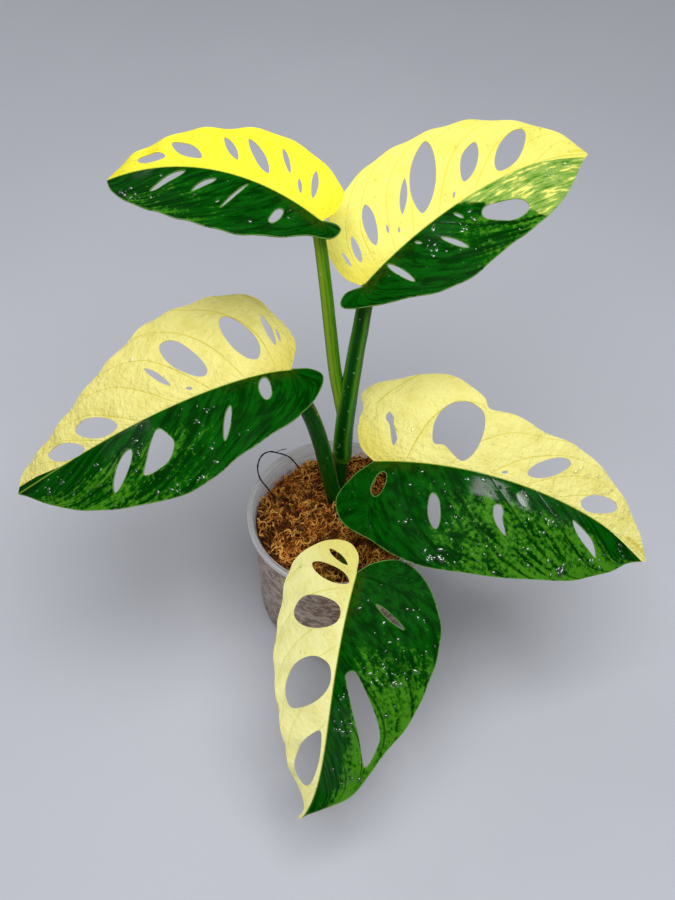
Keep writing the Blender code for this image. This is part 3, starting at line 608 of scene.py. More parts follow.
def half_width(outline, along, side):
    """How wide the leaf is on one side, at points along the midrib."""
    edge = outline[outline[:, 1] * side > 0]
    edge = edge[np.argsort(edge[:, 0])]
    return np.maximum(np.interp(along, edge[:, 0], np.abs(edge[:, 1])), 4.0)


def side_veins(leaf, side):
    """The side veins of one half. They run between its holes."""
    middles = hole_middles(leaf, side)
    taken = np.sort(vein_origin(leaf, middles[:, 0], middles[:, 1]))
    veins = [taken[0] - VEIN_SPACING * 0.6]
    for before, after in zip(taken[:-1], taken[1:]):
        if after - before > 3:
            count = max(1, round((after - before) / VEIN_SPACING))
            veins += [before + (after - before) * (i + 0.5) / count for i in range(count)]
    veins += list(np.arange(taken[-1] + VEIN_SPACING * 0.5, 95, VEIN_SPACING))
    return np.concatenate([np.arange(veins[0] - 2 * VEIN_SPACING, veins[0] - 1, VEIN_SPACING),
                           veins])


def vein_phase(leaf, along, across, side):
    """Counts the side veins of one half: a whole number lies on a vein."""
    veins = side_veins(leaf, side)
    origin = vein_origin(leaf, along, np.maximum(np.abs(across), 1e-6) * side)
    return np.interp(origin, veins, np.arange(len(veins)))


def relief(leaf, along, across, to_edge):
    """Rise of the leaf's middle: it swells between side veins and waves along its margin."""
    look = LOOKS[leaf.name]
    sides = np.where(across >= 0, 1, -1)
    phase = np.where(sides > 0, vein_phase(leaf, along, across, 1),
                     vein_phase(leaf, along, across, -1))
    away = np.clip(np.abs(across) / 0.010, 0, 1)
    inner = np.clip(to_edge / 0.005, 0, 1)
    swell = QUILT * (np.abs(np.sin(math.pi * phase)) ** 0.55 - 0.7) * away * inner
    rough = np.where(sides == look.pale_side, look.wrinkle, 0.18)
    fine = np.array([noise.noise((x * 330, y * 330, 1.7)) + 0.6 * noise.noise((x * 800, y * 800, 3))
                     for x, y in zip(along, across)])
    wave = MARGIN_WAVE * np.sin(along * 330 + 2 * sides) * (1 - np.clip(to_edge / 0.008, 0, 1))
    return swell + 0.0004 * rough * fine * away + wave * away


def make_blade(leaf, material):
    """A leaf with its veins. Its corners carry where they lie on the leaf for the material."""
    flat, triangles, rim = leaf_triangles(leaf)
    along, across = flat[:, 0], flat[:, 1]
    to_edge = distance_to(flat, rim)
    middle = leaf_point(leaf, along, across)
    normal = leaf_normal(leaf, along, across)
    middle = middle + normal * relief(leaf, along, across, to_edge)[:, None]
    to_tip = np.clip(1 - along / leaf.length, 0, 1)
    ridge = np.exp(-(across / MIDRIB_WIDTH) ** 2) * to_tip ** 0.5 * np.clip(to_edge / 0.0012, 0, 1)
    upper = BLADE / 2 - 0.0005 * ridge
    lower = BLADE / 2 + MIDRIB_RIDGE * ridge
    points = np.vstack([middle + normal * upper[:, None], middle - normal * lower[:, None]])
    count = len(flat)
    faces = [tuple(face) for face in triangles]
    faces += [tuple(i + count for i in face[::-1]) for face in triangles]
    edges = {(face[i], face[(i + 1) % 3]) for face in triangles for i in range(3)}
    for start, end in edges:
        if (end, start) not in edges:
            faces.append((start, start + count, end + count, end))
    mesh = bpy.data.meshes.new(leaf.name + "_blade")
    mesh.from_pydata([tuple(p) for p in points], [], [tuple(int(i) for i in f) for f in faces])
    mesh.update()
    put_places(leaf, mesh, np.tile(along, 2), np.tile(across, 2))
    under = np.zeros(len(mesh.polygons))
    under[len(triangles):2 * len(triangles)] = 1
    add_values(mesh, "under", "FLOAT", "FACE", under)
    add_values(mesh, "to_edge", "FLOAT", "POINT", np.tile(to_edge, 2))
    blade = new_object(leaf.name + "_blade", mesh, material)
    blade.data.set_sharp_from_angle(angle=math.radians(60))
    return blade


def put_places(leaf, mesh, along, across):
    """Gives each corner its place on the leaf: along, across, and its count of side veins."""
    corners = np.zeros(len(mesh.loops), int)
    mesh.loops.foreach_get("vertex_index", corners)
    starts = np.zeros(len(mesh.polygons), int)
    totals = np.zeros(len(mesh.polygons), int)
    mesh.polygons.foreach_get("loop_start", starts)
    mesh.polygons.foreach_get("loop_total", totals)
    face_of = np.repeat(np.arange(len(totals)), totals)
    side = np.sign(np.add.reduceat(across[corners], starts))[face_of]
    left = vein_phase(leaf, along, across, 1)
    right = vein_phase(leaf, along, across, -1)
    phase = np.where(side > 0, left[corners], right[corners])
    add_values(mesh, "place", "FLOAT_VECTOR", "CORNER",
               np.stack([along[corners], across[corners], phase], axis=1))


def add_values(mesh, name, kind, domain, values):
    """Gives the mesh an attribute that a material can read."""
    attribute = mesh.attributes.new(name, kind, domain)
    key = "vector" if kind == "FLOAT_VECTOR" else "value"
    attribute.data.foreach_set(key, np.asarray(values, np.float32).ravel())


def make_drops(leaf, material):
    """Water drops on the leaf's upper side, most of them on the green half."""
    look = LOOKS[leaf.name]
    outline = leaf_outline(leaf)
    holes = leaf_holes(leaf)
    rim = np.vstack([outline] + holes)
    low, high = outline.min(axis=0), outline.max(axis=0)
    tries = rng.uniform(low, high, (look.drops * 12, 2))
    clusters = np.array([noise.noise((x * 70, y * 70, 9.0)) for x, y in tries])
    kept = (clusters > 0) | (rng.random(len(tries)) < 0.15)
    pale = tries[:, 1] * look.pale_side > 0
    kept &= ~pale | (rng.random(len(tries)) < 0.08)
    spots = list(tries[kept][:look.drops])
    for pool in look.pools:
        spread = rng.normal(0, POOL_SPREAD, (POOL_DROPS, 2))
        spots += list(np.array(pool) * leaf.length / 100 + spread)
    spots = np.array(spots)
    kept = is_inside(spots, outline) & (np.abs(spots[:, 1]) > 0.003) & (spots[:, 0] > 0.01)
    for hole in holes:
        kept &= ~is_inside(spots, hole)
    spots = spots[kept]
    spots = spots[distance_to(spots, rim) > DROP_FROM_EDGE]
    points, faces, centres = [], [], []
    for along, across in spots:
        size = DROP_RADIUS + DROP_SPREAD * rng.random() ** 2.5
        stretch = rng.uniform(1.0, 2.2)
        turn = rng.uniform(0, math.pi)
        dome = drop_rings(leaf, along, across, size, stretch, turn)
        add_shape(points, faces, dome)
        centres += [(along, across)] * len(dome[0])
    mesh = new_mesh(leaf.name + "_drops", points, faces)
    centres = np.array(centres)
    put_places(leaf, mesh, centres[:, 0], centres[:, 1])
    add_values(mesh, "wet", "FLOAT", "POINT", np.ones(len(points)))
    add_values(mesh, "to_edge", "FLOAT", "POINT", np.full(len(points), 0.01))
    return new_object(leaf.name + "_drops", mesh, material)


def drop_rings(leaf, along, across, size, stretch, turn):
    """The points and faces of one drop, a flat dome that is sunk a little into the leaf."""
    sides, levels = 10, (90, 60, 32)
    centre = leaf_point(leaf, np.array([along]), np.array([across]))[0]
    normal = leaf_normal(leaf, np.array([along]), np.array([across]))[0]
    first = np.cross(normal, (0.3, 0.9, 0.1))
    first /= np.linalg.norm(first)
    second = np.cross(normal, first)
    height = size * 0.55
    base = centre + normal * (BLADE / 2 - 0.00005)
    rings = []
    for level in levels:
        width = size * math.sin(math.radians(level))
        rise = height * math.cos(math.radians(level))
        ring = []
        for side in range(sides):
            angle = 2 * math.pi * side / sides
            x = width * stretch * math.cos(angle)
            y = width * math.sin(angle)
            x, y = (x * math.cos(turn) - y * math.sin(turn), x * math.sin(turn) + y * math.cos(turn))
            ring.append(base + first * x + second * y + normal * rise)
        rings.append(ring)
    points, faces = tube(rings)
    points[-1] = base + normal * height
    return list(points), faces


# ------------------------------------------------------------------ materials

class Nodes:
    """A material's nodes, added one at a time. An input is a socket to join or a plain value."""

    def __init__(self, name, **plain):
        self.material = bpy.data.materials.new(name)
        self.material.use_nodes = True
        self.tree = self.material.node_tree
        self.shader = self.tree.nodes["Principled BSDF"]
        for key, value in plain.items():
            self.shader.inputs[key.replace("_", " ")].default_value = value

    def add(self, kind, inputs, output=0, **settings):
        node = self.tree.nodes.new(kind)
        for key, value in settings.items():
            setattr(node, key, value)
        for key, value in inputs.items():
            self.put(node.inputs[key], value)
        return node.outputs[output]

    def put(self, socket, value):
        if isinstance(value, bpy.types.NodeSocket):
            self.tree.links.new(value, socket)
        elif socket.type == "RGBA":
            socket.default_value = (*value, 1.0)
        else:
            socket.default_value = value

    def math(self, kind, first, second=0.0, third=0.0):
        return self.add("ShaderNodeMath", {0: first, 1: second, 2: third}, operation=kind)

    def times(self, first, second):
        return self.math("MULTIPLY", first, second)

    def plus(self, first, second):
        return self.math("ADD", first, second)

    def minus(self, first, second):
        return self.math("SUBTRACT", first, second)

    def larger(self, first, second):
        return self.math("MAXIMUM", first, second)

    def absolute(self, value):
        return self.math("ABSOLUTE", value)

    def step(self, value, low, high, start=0.0, end=1.0):
        """A smooth step from start to end as the value goes from low to high."""
        return self.add("ShaderNodeMapRange",
                        {"Value": value, "From Min": low, "From Max": high,
                         "To Min": start, "To Max": end}, interpolation_type="SMOOTHSTEP")

    def vector(self, x, y, z=0.0):
        return self.add("ShaderNodeCombineXYZ", {"X": x, "Y": y, "Z": z})

    def noise(self, vector, scale, detail=3.0, roughness=0.55):
        return self.add("ShaderNodeTexNoise", {"Vector": vector, "Scale": scale,
                                               "Detail": detail, "Roughness": roughness})

    def mix(self, share, first, second):
        """A colour between two."""
        node = self.tree.nodes.new("ShaderNodeMix")
        node.data_type = "RGBA"
        self.put(node.inputs[0], share)
        self.put(node.inputs[6], first)
        self.put(node.inputs[7], second)
        return node.outputs[2]

    def attribute(self, name, output=2):
        return self.add("ShaderNodeAttribute", {}, output=output, attribute_name=name)

    def place(self):
        """The three parts of the place attribute."""
        node = self.tree.nodes.new("ShaderNodeSeparateXYZ")
        self.put(node.inputs[0], self.attribute("place", output=1))
        return node.outputs

    def object_point(self):
        return self.add("ShaderNodeTexCoord", {}, output=3)

    def bump(self, height, distance, strength=1.0):
        normal = self.add("ShaderNodeBump", {"Height": height, "Distance": distance,
                                             "Strength": strength})
        self.put(self.shader.inputs["Normal"], normal)

    def finish(self, **sockets):
        for key, value in sockets.items():
            self.put(self.shader.inputs[key.replace("_", " ")], value)
        return self.material


GREEN_DARK = (0.0003, 0.030, 0.0004)
GREEN = (0.0015, 0.082, 0.0015)
FLECK = (0.022, 0.135, 0.004)
FLECK_BRIGHT = (0.055, 0.225, 0.009)
GREEN_PALE = (0.27, 0.44, 0.08)
BROWN_GREEN = (0.030, 0.060, 0.001)
MIDRIB_COLOUR = (0.42, 0.55, 0.05)
MARGIN_GREEN = (0.22, 0.38, 0.09)
UNDERSIDE_GREEN = (0.05, 0.20, 0.02)


def pale_colour(n, look, along, reach, phase, cloud, net):
    """The pale half's colour: deeper near the base and along its veins, with a faint network."""
    vein = vein_line(n, phase, 0.009, 0.026)
    vein = n.times(vein, n.step(reach, 0.0006, 0.002))
    outward = n.plus(along, n.times(reach, 0.9))
    near_base = n.step(outward, 0.002, 0.030, 0.75, 0.0)
    deepen = n.larger(near_base, n.step(cloud, 0.42, 0.70, 0.0, 0.35))
    deepen = n.larger(deepen, n.times(vein, 0.85))
    deepen = n.larger(deepen, n.step(net, 0.55, 0.72, 0.0, 0.28))
    return n.mix(deepen, look.pale, look.deep)


def green_colour(n, leaf, look, along, across, phase, cloud):
    """The green half's colour: dark with lighter flecks that follow the veins."""
    reach = n.absolute(across)
    to_edge = n.attribute("to_edge")
    veinwise = n.vector(n.times(phase, 3.4), n.times(reach, 75.0), float(len(leaf.name)))
    streaks = n.noise(veinwise, 1.6, 5.0, 0.62)
    flecks = n.noise(n.vector(along, across, 0.3), 400.0, 4.0, 0.62)
    inner = n.times(n.step(reach, 0.002, 0.016),
                    n.step(along, 0.05 * leaf.length, 0.40 * leaf.length))
    outer = n.times(n.step(to_edge, 0.001, 0.009, 0.06, 0.0),
                    n.step(along, 0.3 * leaf.length, 0.7 * leaf.length))
    level = n.plus(n.times(streaks, 0.42), n.times(flecks, 0.43))
    level = n.plus(level, n.times(cloud, 0.15))
    level = n.plus(level, n.times(n.minus(inner, 1.0), 0.16))
    level = n.plus(level, outer)
    threshold = 0.60 - 0.18 * look.mottle
    mottled = n.step(level, threshold, threshold + 0.02)
    brighter = n.step(level, threshold + 0.03, threshold + 0.09)
    green = n.mix(n.step(streaks, 0.38, 0.60), GREEN_DARK, GREEN)
    green = n.mix(mottled, green, n.mix(brighter, FLECK, FLECK_BRIGHT))
    vein = n.times(vein_line(n, phase, 0.015, 0.06), n.step(reach, 0.0006, 0.002))
    green = n.mix(n.times(vein, 0.7), green, GREEN_DARK)
    brown = n.times(n.step(along, 0.0, 0.30 * leaf.length, 1.0, 0.0),
                    n.step(reach, 0.001, 0.008, 1.0, 0.0))
    brown = n.times(brown, n.step(along, -0.007, 0.002))
    green = n.mix(n.times(brown, n.step(flecks, 0.35, 0.6)), green, BROWN_GREEN)
    return n.mix(n.step(to_edge, 0.0002, 0.0007, 0.55, 0.0), green, MARGIN_GREEN)


def marbled_colour(n, leaf, look, along, across, green):
    """The green half turned to pale green and cream streaks from its marble line to its tip."""
    reach = n.absolute(across)
    edge = n.minus(along, n.times(reach, 1.1))
    edge = n.plus(edge, n.times(n.noise(n.vector(along, across), 300.0), 0.008))
    line = look.marble * leaf.length / 100 + 0.004
    beyond = n.step(edge, line - 0.002, line + 0.002)
    grain = n.noise(n.vector(n.times(along, 60.0), n.times(across, 330.0)), 1.0, 5.0, 0.7)
    streaks = n.mix(n.step(grain, 0.34, 0.50), FLECK_BRIGHT, GREEN_PALE)
    streaks = n.mix(n.step(grain, 0.52, 0.62), streaks, look.pale)
    return n.mix(beyond, green, streaks)


def vein_line(n, phase, narrow, wide):
    """One on a side vein and nothing away from it."""
    off = n.minus(n.math("FRACT", n.plus(phase, 0.5)), 0.5)
    return n.step(n.absolute(off), narrow, wide, 1.0, 0.0)


def beads(n, vector, scale, share):
    """Round beads of water in a share of the cells of a fine pattern."""
    cells = n.tree.nodes.new("ShaderNodeTexVoronoi")
    n.put(cells.inputs["Vector"], vector)
    n.put(cells.inputs["Scale"], scale)
    size = n.step(cells.outputs["Color"], 1.0 - share, 1.0, 0.001, 0.40)
    return n.step(n.math("DIVIDE", cells.outputs["Distance"], size), 0.55, 1.0, 1.0, 0.0)


def leaf_material(leaf):
    """A leaf half green and half pale, with wet patches and beads of water."""
    look = LOOKS[leaf.name]
    n = Nodes(leaf.name + "_surface")
    along, across, phase = n.place()
    flat = n.vector(along, across)
    reach = n.absolute(across)
    cloud = n.noise(flat, 90.0, 4.0)
    net = n.noise(flat, 700.0, 3.0)
    under = n.attribute("under")
    wet = n.attribute("wet")

    on_pale = n.times(across, float(look.pale_side))
    behind = n.times(n.math("MINIMUM", along, 0.0), look.lobe)
    on_pale = n.plus(on_pale, behind)
    start, width = look.spill
    if width:
        spill = n.step(along, start * leaf.length, 0.95 * leaf.length, 0.0, width)
        on_pale = n.plus(on_pale, spill)
    on_pale = n.plus(on_pale, n.times(n.noise(flat, 500.0), 0.0006))
    pale_mask = n.math("GREATER_THAN", on_pale, 0.0003)

    pale = pale_colour(n, look, along, reach, phase, cloud, net)
    green = green_colour(n, leaf, look, along, across, phase, cloud)
    if look.marble < 100:
        green = marbled_colour(n, leaf, look, along, across, green)
    colour = n.mix(pale_mask, green, pale)
    midrib = n.times(n.step(reach, 0.0002, 0.0006, 0.45, 0.0), n.step(along, -0.002, 0.001))
    colour = n.mix(midrib, colour, MIDRIB_COLOUR)
    lighter = n.mix(pale_mask, UNDERSIDE_GREEN, look.pale)
    colour = n.mix(n.times(under, 0.6), colour, lighter)

    # a film of water in patches over the wet part, beads of it all over
    start, end, width = (share * leaf.length for share in look.film)
    patches = n.step(n.noise(n.vector(along, across, 2.0), 110.0, 3.0), 0.37, 0.44)
    film = n.times(n.step(along, start, start + 0.008), n.step(along, end - 0.008, end, 1.0, 0.0))
    film = n.times(film, n.step(reach, width - 0.004, width, 1.0, 0.0))
    film = n.times(n.times(film, patches), n.minus(1.0, n.larger(pale_mask, under)))
    bead = n.times(beads(n, flat, 420.0, 0.5), n.step(cloud, 0.45, 0.55))
    water = n.larger(n.larger(bead, wet), n.times(film, 0.55))
    dull = n.times(pale_mask, 0.10)
    specular = n.plus(n.step(water, 0.0, 1.0, 0.02, 0.75), dull)
    rough = n.step(water, 0.0, 0.6, 0.42, 0.14)
    rough = n.plus(rough, n.times(under, 0.25))
    height = n.plus(n.times(net, 0.5), n.times(bead, 1.6))
    height = n.minus(height, n.times(vein_line(n, phase, 0.01, 0.06), 0.5))
    crumple = n.times(n.noise(flat, 330.0, 2.0), 20.0 * look.wrinkle)
    height = n.plus(height, n.times(crumple, pale_mask))
    n.bump(height, 0.0003, 0.7)
    return n.finish(Base_Color=colour, Roughness=rough, Specular_IOR_Level=specular,
                    IOR=n.step(wet, 0.0, 1.0, 1.45, 1.85))


def stalk_material(name, sheath):
    """A green stalk: fine lines lengthwise, a groove between two raised edges, beads of water with a
    painted highlight.
    """
    n = Nodes(name)
    along, around, share = n.place()
    lines = n.noise(n.vector(n.times(along, 25.0), n.times(around, 2.2)), 3.0, 4.0)
    cloud = n.noise(n.vector(n.times(along, 60.0), around), 1.5, 3.0)
    away = n.absolute(around)
    from_edge = n.absolute(n.minus(away, EDGE_AT))
    open_part = n.step(share, sheath.until - 0.12, sheath.until, 1.0, 0.15)
    colour = n.mix(n.step(lines, 0.42, 0.68), sheath.skin, sheath.streak)
    colour = n.mix(n.times(n.step(away, 0.25, 0.60, 1.0, 0.0), open_part), colour, sheath.groove)
    colour = n.mix(n.times(n.step(from_edge, 0.05, 0.26, 0.9, 0.0), open_part), colour, sheath.edge)
    colour = n.mix(n.step(cloud, 0.5, 0.8, 0.0, 0.3), colour, sheath.skin)
    if sheath.spots:
        dots = n.noise(n.vector(n.times(along, 900.0), n.times(around, 4.0)), 1.0, 2.0)
        mark = n.times(n.step(from_edge, 0.10, 0.22, 1.0, 0.0), n.step(dots, 0.50, 0.57))
        colour = n.mix(mark, colour, (0.13, 0.045, 0.006))
    if sheath.collar:
        colour = n.mix(n.step(along, 0.0035, 0.0042, 0.75, 0.0), colour, (0.075, 0.20, 0.006))
    bead = beads(n, n.object_point(), 420.0, 0.5)
    n.bump(n.plus(lines, bead), 0.0002, 0.4)
    # painted highlight: the beads of water are painted pale green, as the glint on them
    colour = n.mix(n.times(bead, 0.35), colour, (0.55, 0.75, 0.35))
    return n.finish(Base_Color=colour, Roughness=n.step(cloud, 0.3, 0.7, 0.26, 0.40),
                    Specular_IOR_Level=n.step(bead, 0.0, 1.0, 0.10, 0.9))


def moss_material(name, painted_shade):
    """Dried sphagnum. Each strand has its own tint, partly its own colour at random and partly painted
    light: strands that lift higher are lighter. Pockets are painted nearly black as the shade between the
    strands, and the packed bed's top is darkened by the second argument as painted shade under the strands.
    """
    n = Nodes(name, Specular_IOR_Level=0.2)
    point = n.object_point()
    tint = n.attribute("tint")
    grain = n.noise(point, 900.0, 3.0)
    cloud = n.noise(point, 110.0, 3.0)
    # the strands' tints run from dark brown through orange to pale gold; through the tint the high strands
    # carry painted light
    colour = n.mix(n.step(tint, 0.0, 0.45), (0.06, 0.008, 0.001), (0.52, 0.145, 0.012))
    colour = n.mix(n.step(tint, 0.40, 0.85), colour, (1.0, 0.54, 0.11))
    # painted shade: where the cloud is low the moss is painted nearly black, as the shade in pockets
    # between the strands
    colour = n.mix(n.step(cloud, 0.40, 0.50, 0.85, 0.0), colour, (0.05, 0.008, 0.001))
    colour = n.mix(n.step(grain, 0.4, 0.75, 0.0, 0.3), colour, (0.50, 0.17, 0.03))
    # painted shade: the packed bed's top is darkened to nearly black, as the shade under the loose strands
    inside = n.times(n.step(n.attribute("buried"), 0.2, 0.9), painted_shade)
    colour = n.mix(inside, colour, (0.022, 0.005, 0.001))
    n.bump(grain, 0.0006, 0.7)
    return n.finish(Base_Color=colour, Roughness=0.85)


def pot_material():
    """Clear, slightly milky polypropylene with flow lines, fine scratches and a dirty foot. The rim's outer
    edge and lip get painted highlights.
    """
    n = Nodes("clear_plastic", Coat_Weight=0.15, Coat_Roughness=0.15, IOR=1.49)
    point = n.object_point()
    parts = n.tree.nodes.new("ShaderNodeSeparateXYZ")
    n.put(parts.inputs[0], point)
    x, y, z = parts.outputs
    flow = n.noise(n.vector(n.times(x, 60.0), n.times(y, 60.0), n.times(z, 260.0)), 1.0, 4.0, 0.65)
    scratch = n.noise(point, 420.0, 4.0, 0.7)
    rim_low = POT_HEIGHT - RIM_DEPTH
    in_rim = n.step(z, rim_low - 0.0012, rim_low + 0.0004)
    away = n.math("SQRT", n.plus(n.times(x, x), n.times(y, y)))
    rim_radius = WALL_TOP_RADIUS + RIM_OVERHANG
    lip = rim_radius - RIM_WIDTH
    # painted highlights: thin bright lines along the rim's outer edge and its lip, where the plastic is
    # made more opaque to show its pale colour
    outer = n.step(away, rim_radius - 0.0005, rim_radius - 0.0002)
    inner = n.step(away, lip + 0.0002, lip + 0.0005, 0.4, 0.0)
    edges = n.times(n.larger(outer, inner), in_rim)
    milk = n.step(flow, 0.3, 0.75, 0.52, 0.74)
    above_moss = n.step(z, POT_HEIGHT - 0.018, POT_HEIGHT - 0.010)
    milk = n.math("MULTIPLY_ADD", above_moss, n.minus(0.24, milk), milk)
    # the rim's painted highlights
    milk = n.plus(milk, n.times(edges, 0.55))
    milk = n.plus(milk, n.step(scratch, 0.6, 0.75, 0.0, 0.08))
    dirt = n.times(n.step(n.noise(point, 420.0, 3.0, 0.6), 0.54, 0.57),
                   n.step(z, 0.006, 0.022, 1.0, 0.0))
    stains = n.step(n.noise(n.vector(n.times(x, 90.0), n.times(y, 90.0),
                                     n.times(z, 160.0)), 2.0, 4.0, 0.7), 0.42, 0.58)
    wall = n.mix(stains, (0.30, 0.19, 0.13), (0.90, 0.72, 0.58))
    colour = n.mix(in_rim, wall, (0.86, 0.87, 0.91))
    colour = n.mix(dirt, colour, (0.02, 0.012, 0.008))
    n.bump(n.plus(flow, n.times(scratch, 0.3)), 0.0003, 0.35)
    n.material.surface_render_method = "BLENDED"
    return n.finish(Base_Color=colour, Alpha=n.larger(milk, dirt),
                    Roughness=n.step(flow, 0.3, 0.7, 0.22, 0.38))


def root_material():
    """Dry black bark."""
    n = Nodes("root_bark", Specular_IOR_Level=0.3)
    point = n.object_point()
    grain = n.noise(point, 1500.0, 3.0)
    colour = n.mix(n.step(grain, 0.4, 0.7), (0.009, 0.006, 0.005), (0.05, 0.025, 0.014))
    n.bump(grain, 0.0002, 0.6)
    return n.finish(Base_Color=colour, Roughness=0.7)


# ------------------------------------------------------------------ stem, stalks and root

def round_ring(centre, tangent, ahead_of, radii):
    """A ring across the tangent with one radius a point."""
    forward = np.cross(ahead_of, tangent)
    forward /= np.linalg.norm(forward)
    left = np.cross(tangent, forward)
    turn = 2 * np.pi * np.arange(len(radii)) / len(radii)
    return centre + (radii * np.cos(turn))[:, None] * forward + (radii * np.sin(turn))[:, None] * left


EDGE_AT = 0.75              # how far round, in radians, a raised edge lies from its groove


@dataclass
class Sheath:
    """A stalk's groove between two raised edges, and its colours."""
    groove_at: float        # bearing of the groove round the stalk
    depth: float            # as a share of the radius
    until: float            # share of the stalk where the sheath's edges have closed
    skin: tuple
    streak: tuple
    groove: tuple
    edge: tuple
    spots: bool = False
    collar: bool = False


DEEP = (0.0010, 0.072, 0.0015)
DEEP_STREAK = (0.008, 0.145, 0.007)
DARK_GROOVE = (0.0006, 0.040, 0.0006)
LIGHT_EDGE = (0.060, 0.24, 0.010)
SHEATHS = {
    "stalk_upper_right": Sheath(205, 0.22, 0.95, (0.012, 0.15, 0.003), (0.05, 0.24, 0.006),
                                (0.001, 0.070, 0.001), (0.10, 0.32, 0.012), collar=True),
    "stalk_left": Sheath(190, 0.22, 0.95, DEEP, DEEP_STREAK, DARK_GROOVE, LIGHT_EDGE, spots=True),
    "stalk_upper_left": Sheath(98, 0.06, 1.3, (0.055, 0.25, 0.003), (0.16, 0.42, 0.008),
                               (0.34, 0.56, 0.02), (0.20, 0.46, 0.01)),
    "stalk_right": Sheath(40, 0.12, 0.6, DEEP, DEEP_STREAK, DARK_GROOVE, LIGHT_EDGE),
    "stalk_front": Sheath(40, 0.12, 0.6, DEEP, DEEP_STREAK, DARK_GROOVE, LIGHT_EDGE),
}
STEM_SKIN = Sheath(0, 0.0, -1.0, DEEP, DEEP_STREAK, DEEP, DEEP)
STALK_SIDES = 32
STALK_STEP = 0.0015
FOOT_BLEND = 0.007          # length over which a stalk widens from its foot
TOP_BLEND = 0.010           # and narrows to its top


def signed_angle(angles, centre):
    """The angles seen from a centre, in radians from -pi to pi."""
    return (angles - math.radians(centre) + math.pi) % (2 * math.pi) - math.pi


def under_leaf(leaf, blade, radius):
    """A ring of points just below the leaf's lower side, at its base."""
    shape = bmesh.new()
    shape.from_mesh(blade.data)
    tree = BVHTree.FromBMesh(shape)
    shape.free()
    up = Vector(midrib_frame(leaf, np.zeros(1))[2][0])
    ring = []
    for side in range(STALK_SIDES):
        angle = 2 * math.pi * side / STALK_SIDES
        along = radius * (SEAT_FORWARD + math.cos(angle))
        across = radius * math.sin(angle)
        start = Vector(leaf_point(leaf, np.array(along), np.array(across))) - up * SEAT_SEARCH
        hit = tree.ray_cast(start, up, 2 * SEAT_SEARCH)[0]
        ring.append(np.array(hit - up * CLEARANCE * 0.3))
    return np.array(ring)


def make_stalk(stalk, leaf, blade):
    """A stalk with its sheath's groove and edges. Its last ring lies under the leaf."""
    sheath = SHEATHS[stalk.name]
    foot = np.array(PLANT_FOOT)
    socket = under_leaf(leaf, blade, stalk.top_radius)
    leaf_left = midrib_frame(leaf, np.zeros(1))[1][0]
    way = [foot + np.array(point) for point in (stalk.foot,) + stalk.through] + [socket.mean(axis=0)]
    way = even_way(way, STALK_STEP)
    tangents = directions(way)
    shares = np.linspace(0, 1, len(way))
    turn = 2 * np.pi * np.arange(STALK_SIDES) / STALK_SIDES
    off = signed_angle(turn, sheath.groove_at)
    rings, places = [], []
    for i, share in enumerate(shares[:-1]):
        radius = stalk.radii[0] + (stalk.radii[1] - stalk.radii[0]) * share
        foot_share = min(1.0, i * STALK_STEP / FOOT_BLEND)
        top_share = min(1.0, (len(way) - 1 - i) * STALK_STEP / TOP_BLEND)
        radius = stalk.foot_radius + (radius - stalk.foot_radius) * foot_share
        radius = stalk.top_radius + (radius - stalk.top_radius) * top_share ** 0.7
        fade = np.clip((sheath.until - share) / 0.15, 0, 1) * foot_share
        depth = sheath.depth * (0.25 + 0.75 * fade)
        dent = np.exp(-(off / 0.50) ** 2)
        edges = np.exp(-((np.abs(off) - EDGE_AT) / 0.20) ** 2)
        waves = 0.012 * math.sin(share * 31) * np.cos(3 * turn)
        radii = radius * (1 - depth * dent + 0.45 * depth * edges + waves)
        rings.append(round_ring(way[i], tangents[i], leaf_left, radii))
    rings.append(socket)
    for i, share in enumerate(shares):
        places += [(i * STALK_STEP, angle, share) for angle in off]
    points, faces = tube(rings)
    places += [places[0], places[-1]]
    mesh = new_mesh(stalk.name + "_fine", points, faces)
    add_values(mesh, "place", "FLOAT_VECTOR", "POINT", places)
    material = stalk_material(stalk.name + "_skin", sheath)
    return new_object(stalk.name + "_fine", mesh, material)


def make_stem():
    """The short thick stem, with the ring scars of fallen leaves and a straight cut top."""
    bottom = np.array(PLANT_FOOT) + np.array((*STEM_LOW, -STEM_BURIED))
    top = np.array(PLANT_FOOT) + np.array((*STEM_HIGH, STEM_ABOVE - CLEARANCE))
    sides, count = 36, 64
    turn = 2 * np.pi * np.arange(sides) / sides
    rings, places = [], []
    for share in np.linspace(0, 1, count):
        radius = STEM_RADIUS * (STEM_TAPER + (1 - STEM_TAPER) * share)
        scar = sum(math.exp(-((share - at) / 0.012) ** 2) for at in (0.60, 0.74, 0.90))
        bud = 0.16 * math.exp(-((share - 0.66) / 0.09) ** 2) * np.exp(-(signed_angle(turn, 200)) ** 2)
        radii = radius * (0.97 + 0.035 * scar + 0.010 * np.cos(4 * turn + 9 * share) + bud)
        centre = bottom + (top - bottom) * share
        rings.append(round_ring(centre, np.array(UP), np.array(LEFTWARD), radii))
        places += [(share * (STEM_ABOVE + STEM_BURIED), angle, share)
                   for angle in signed_angle(turn, 0)]
    points, faces = tube(rings)
    places += [places[0], places[-1]]
    mesh = new_mesh("stem_fine", points, faces)
    add_values(mesh, "place", "FLOAT_VECTOR", "POINT", places)
    return new_object("stem_fine", mesh, stalk_material("stem_skin", STEM_SKIN))


def point_in_pot(share, bearing, above_rim):
    """A point at a share of the radius inside the pot's wall, at a height above the rim."""
    radius = share * (WALL_TOP_RADIUS - WALL)
    angle = math.radians(bearing)
    return np.array((radius * math.cos(angle), radius * math.sin(angle), POT_HEIGHT + above_rim))


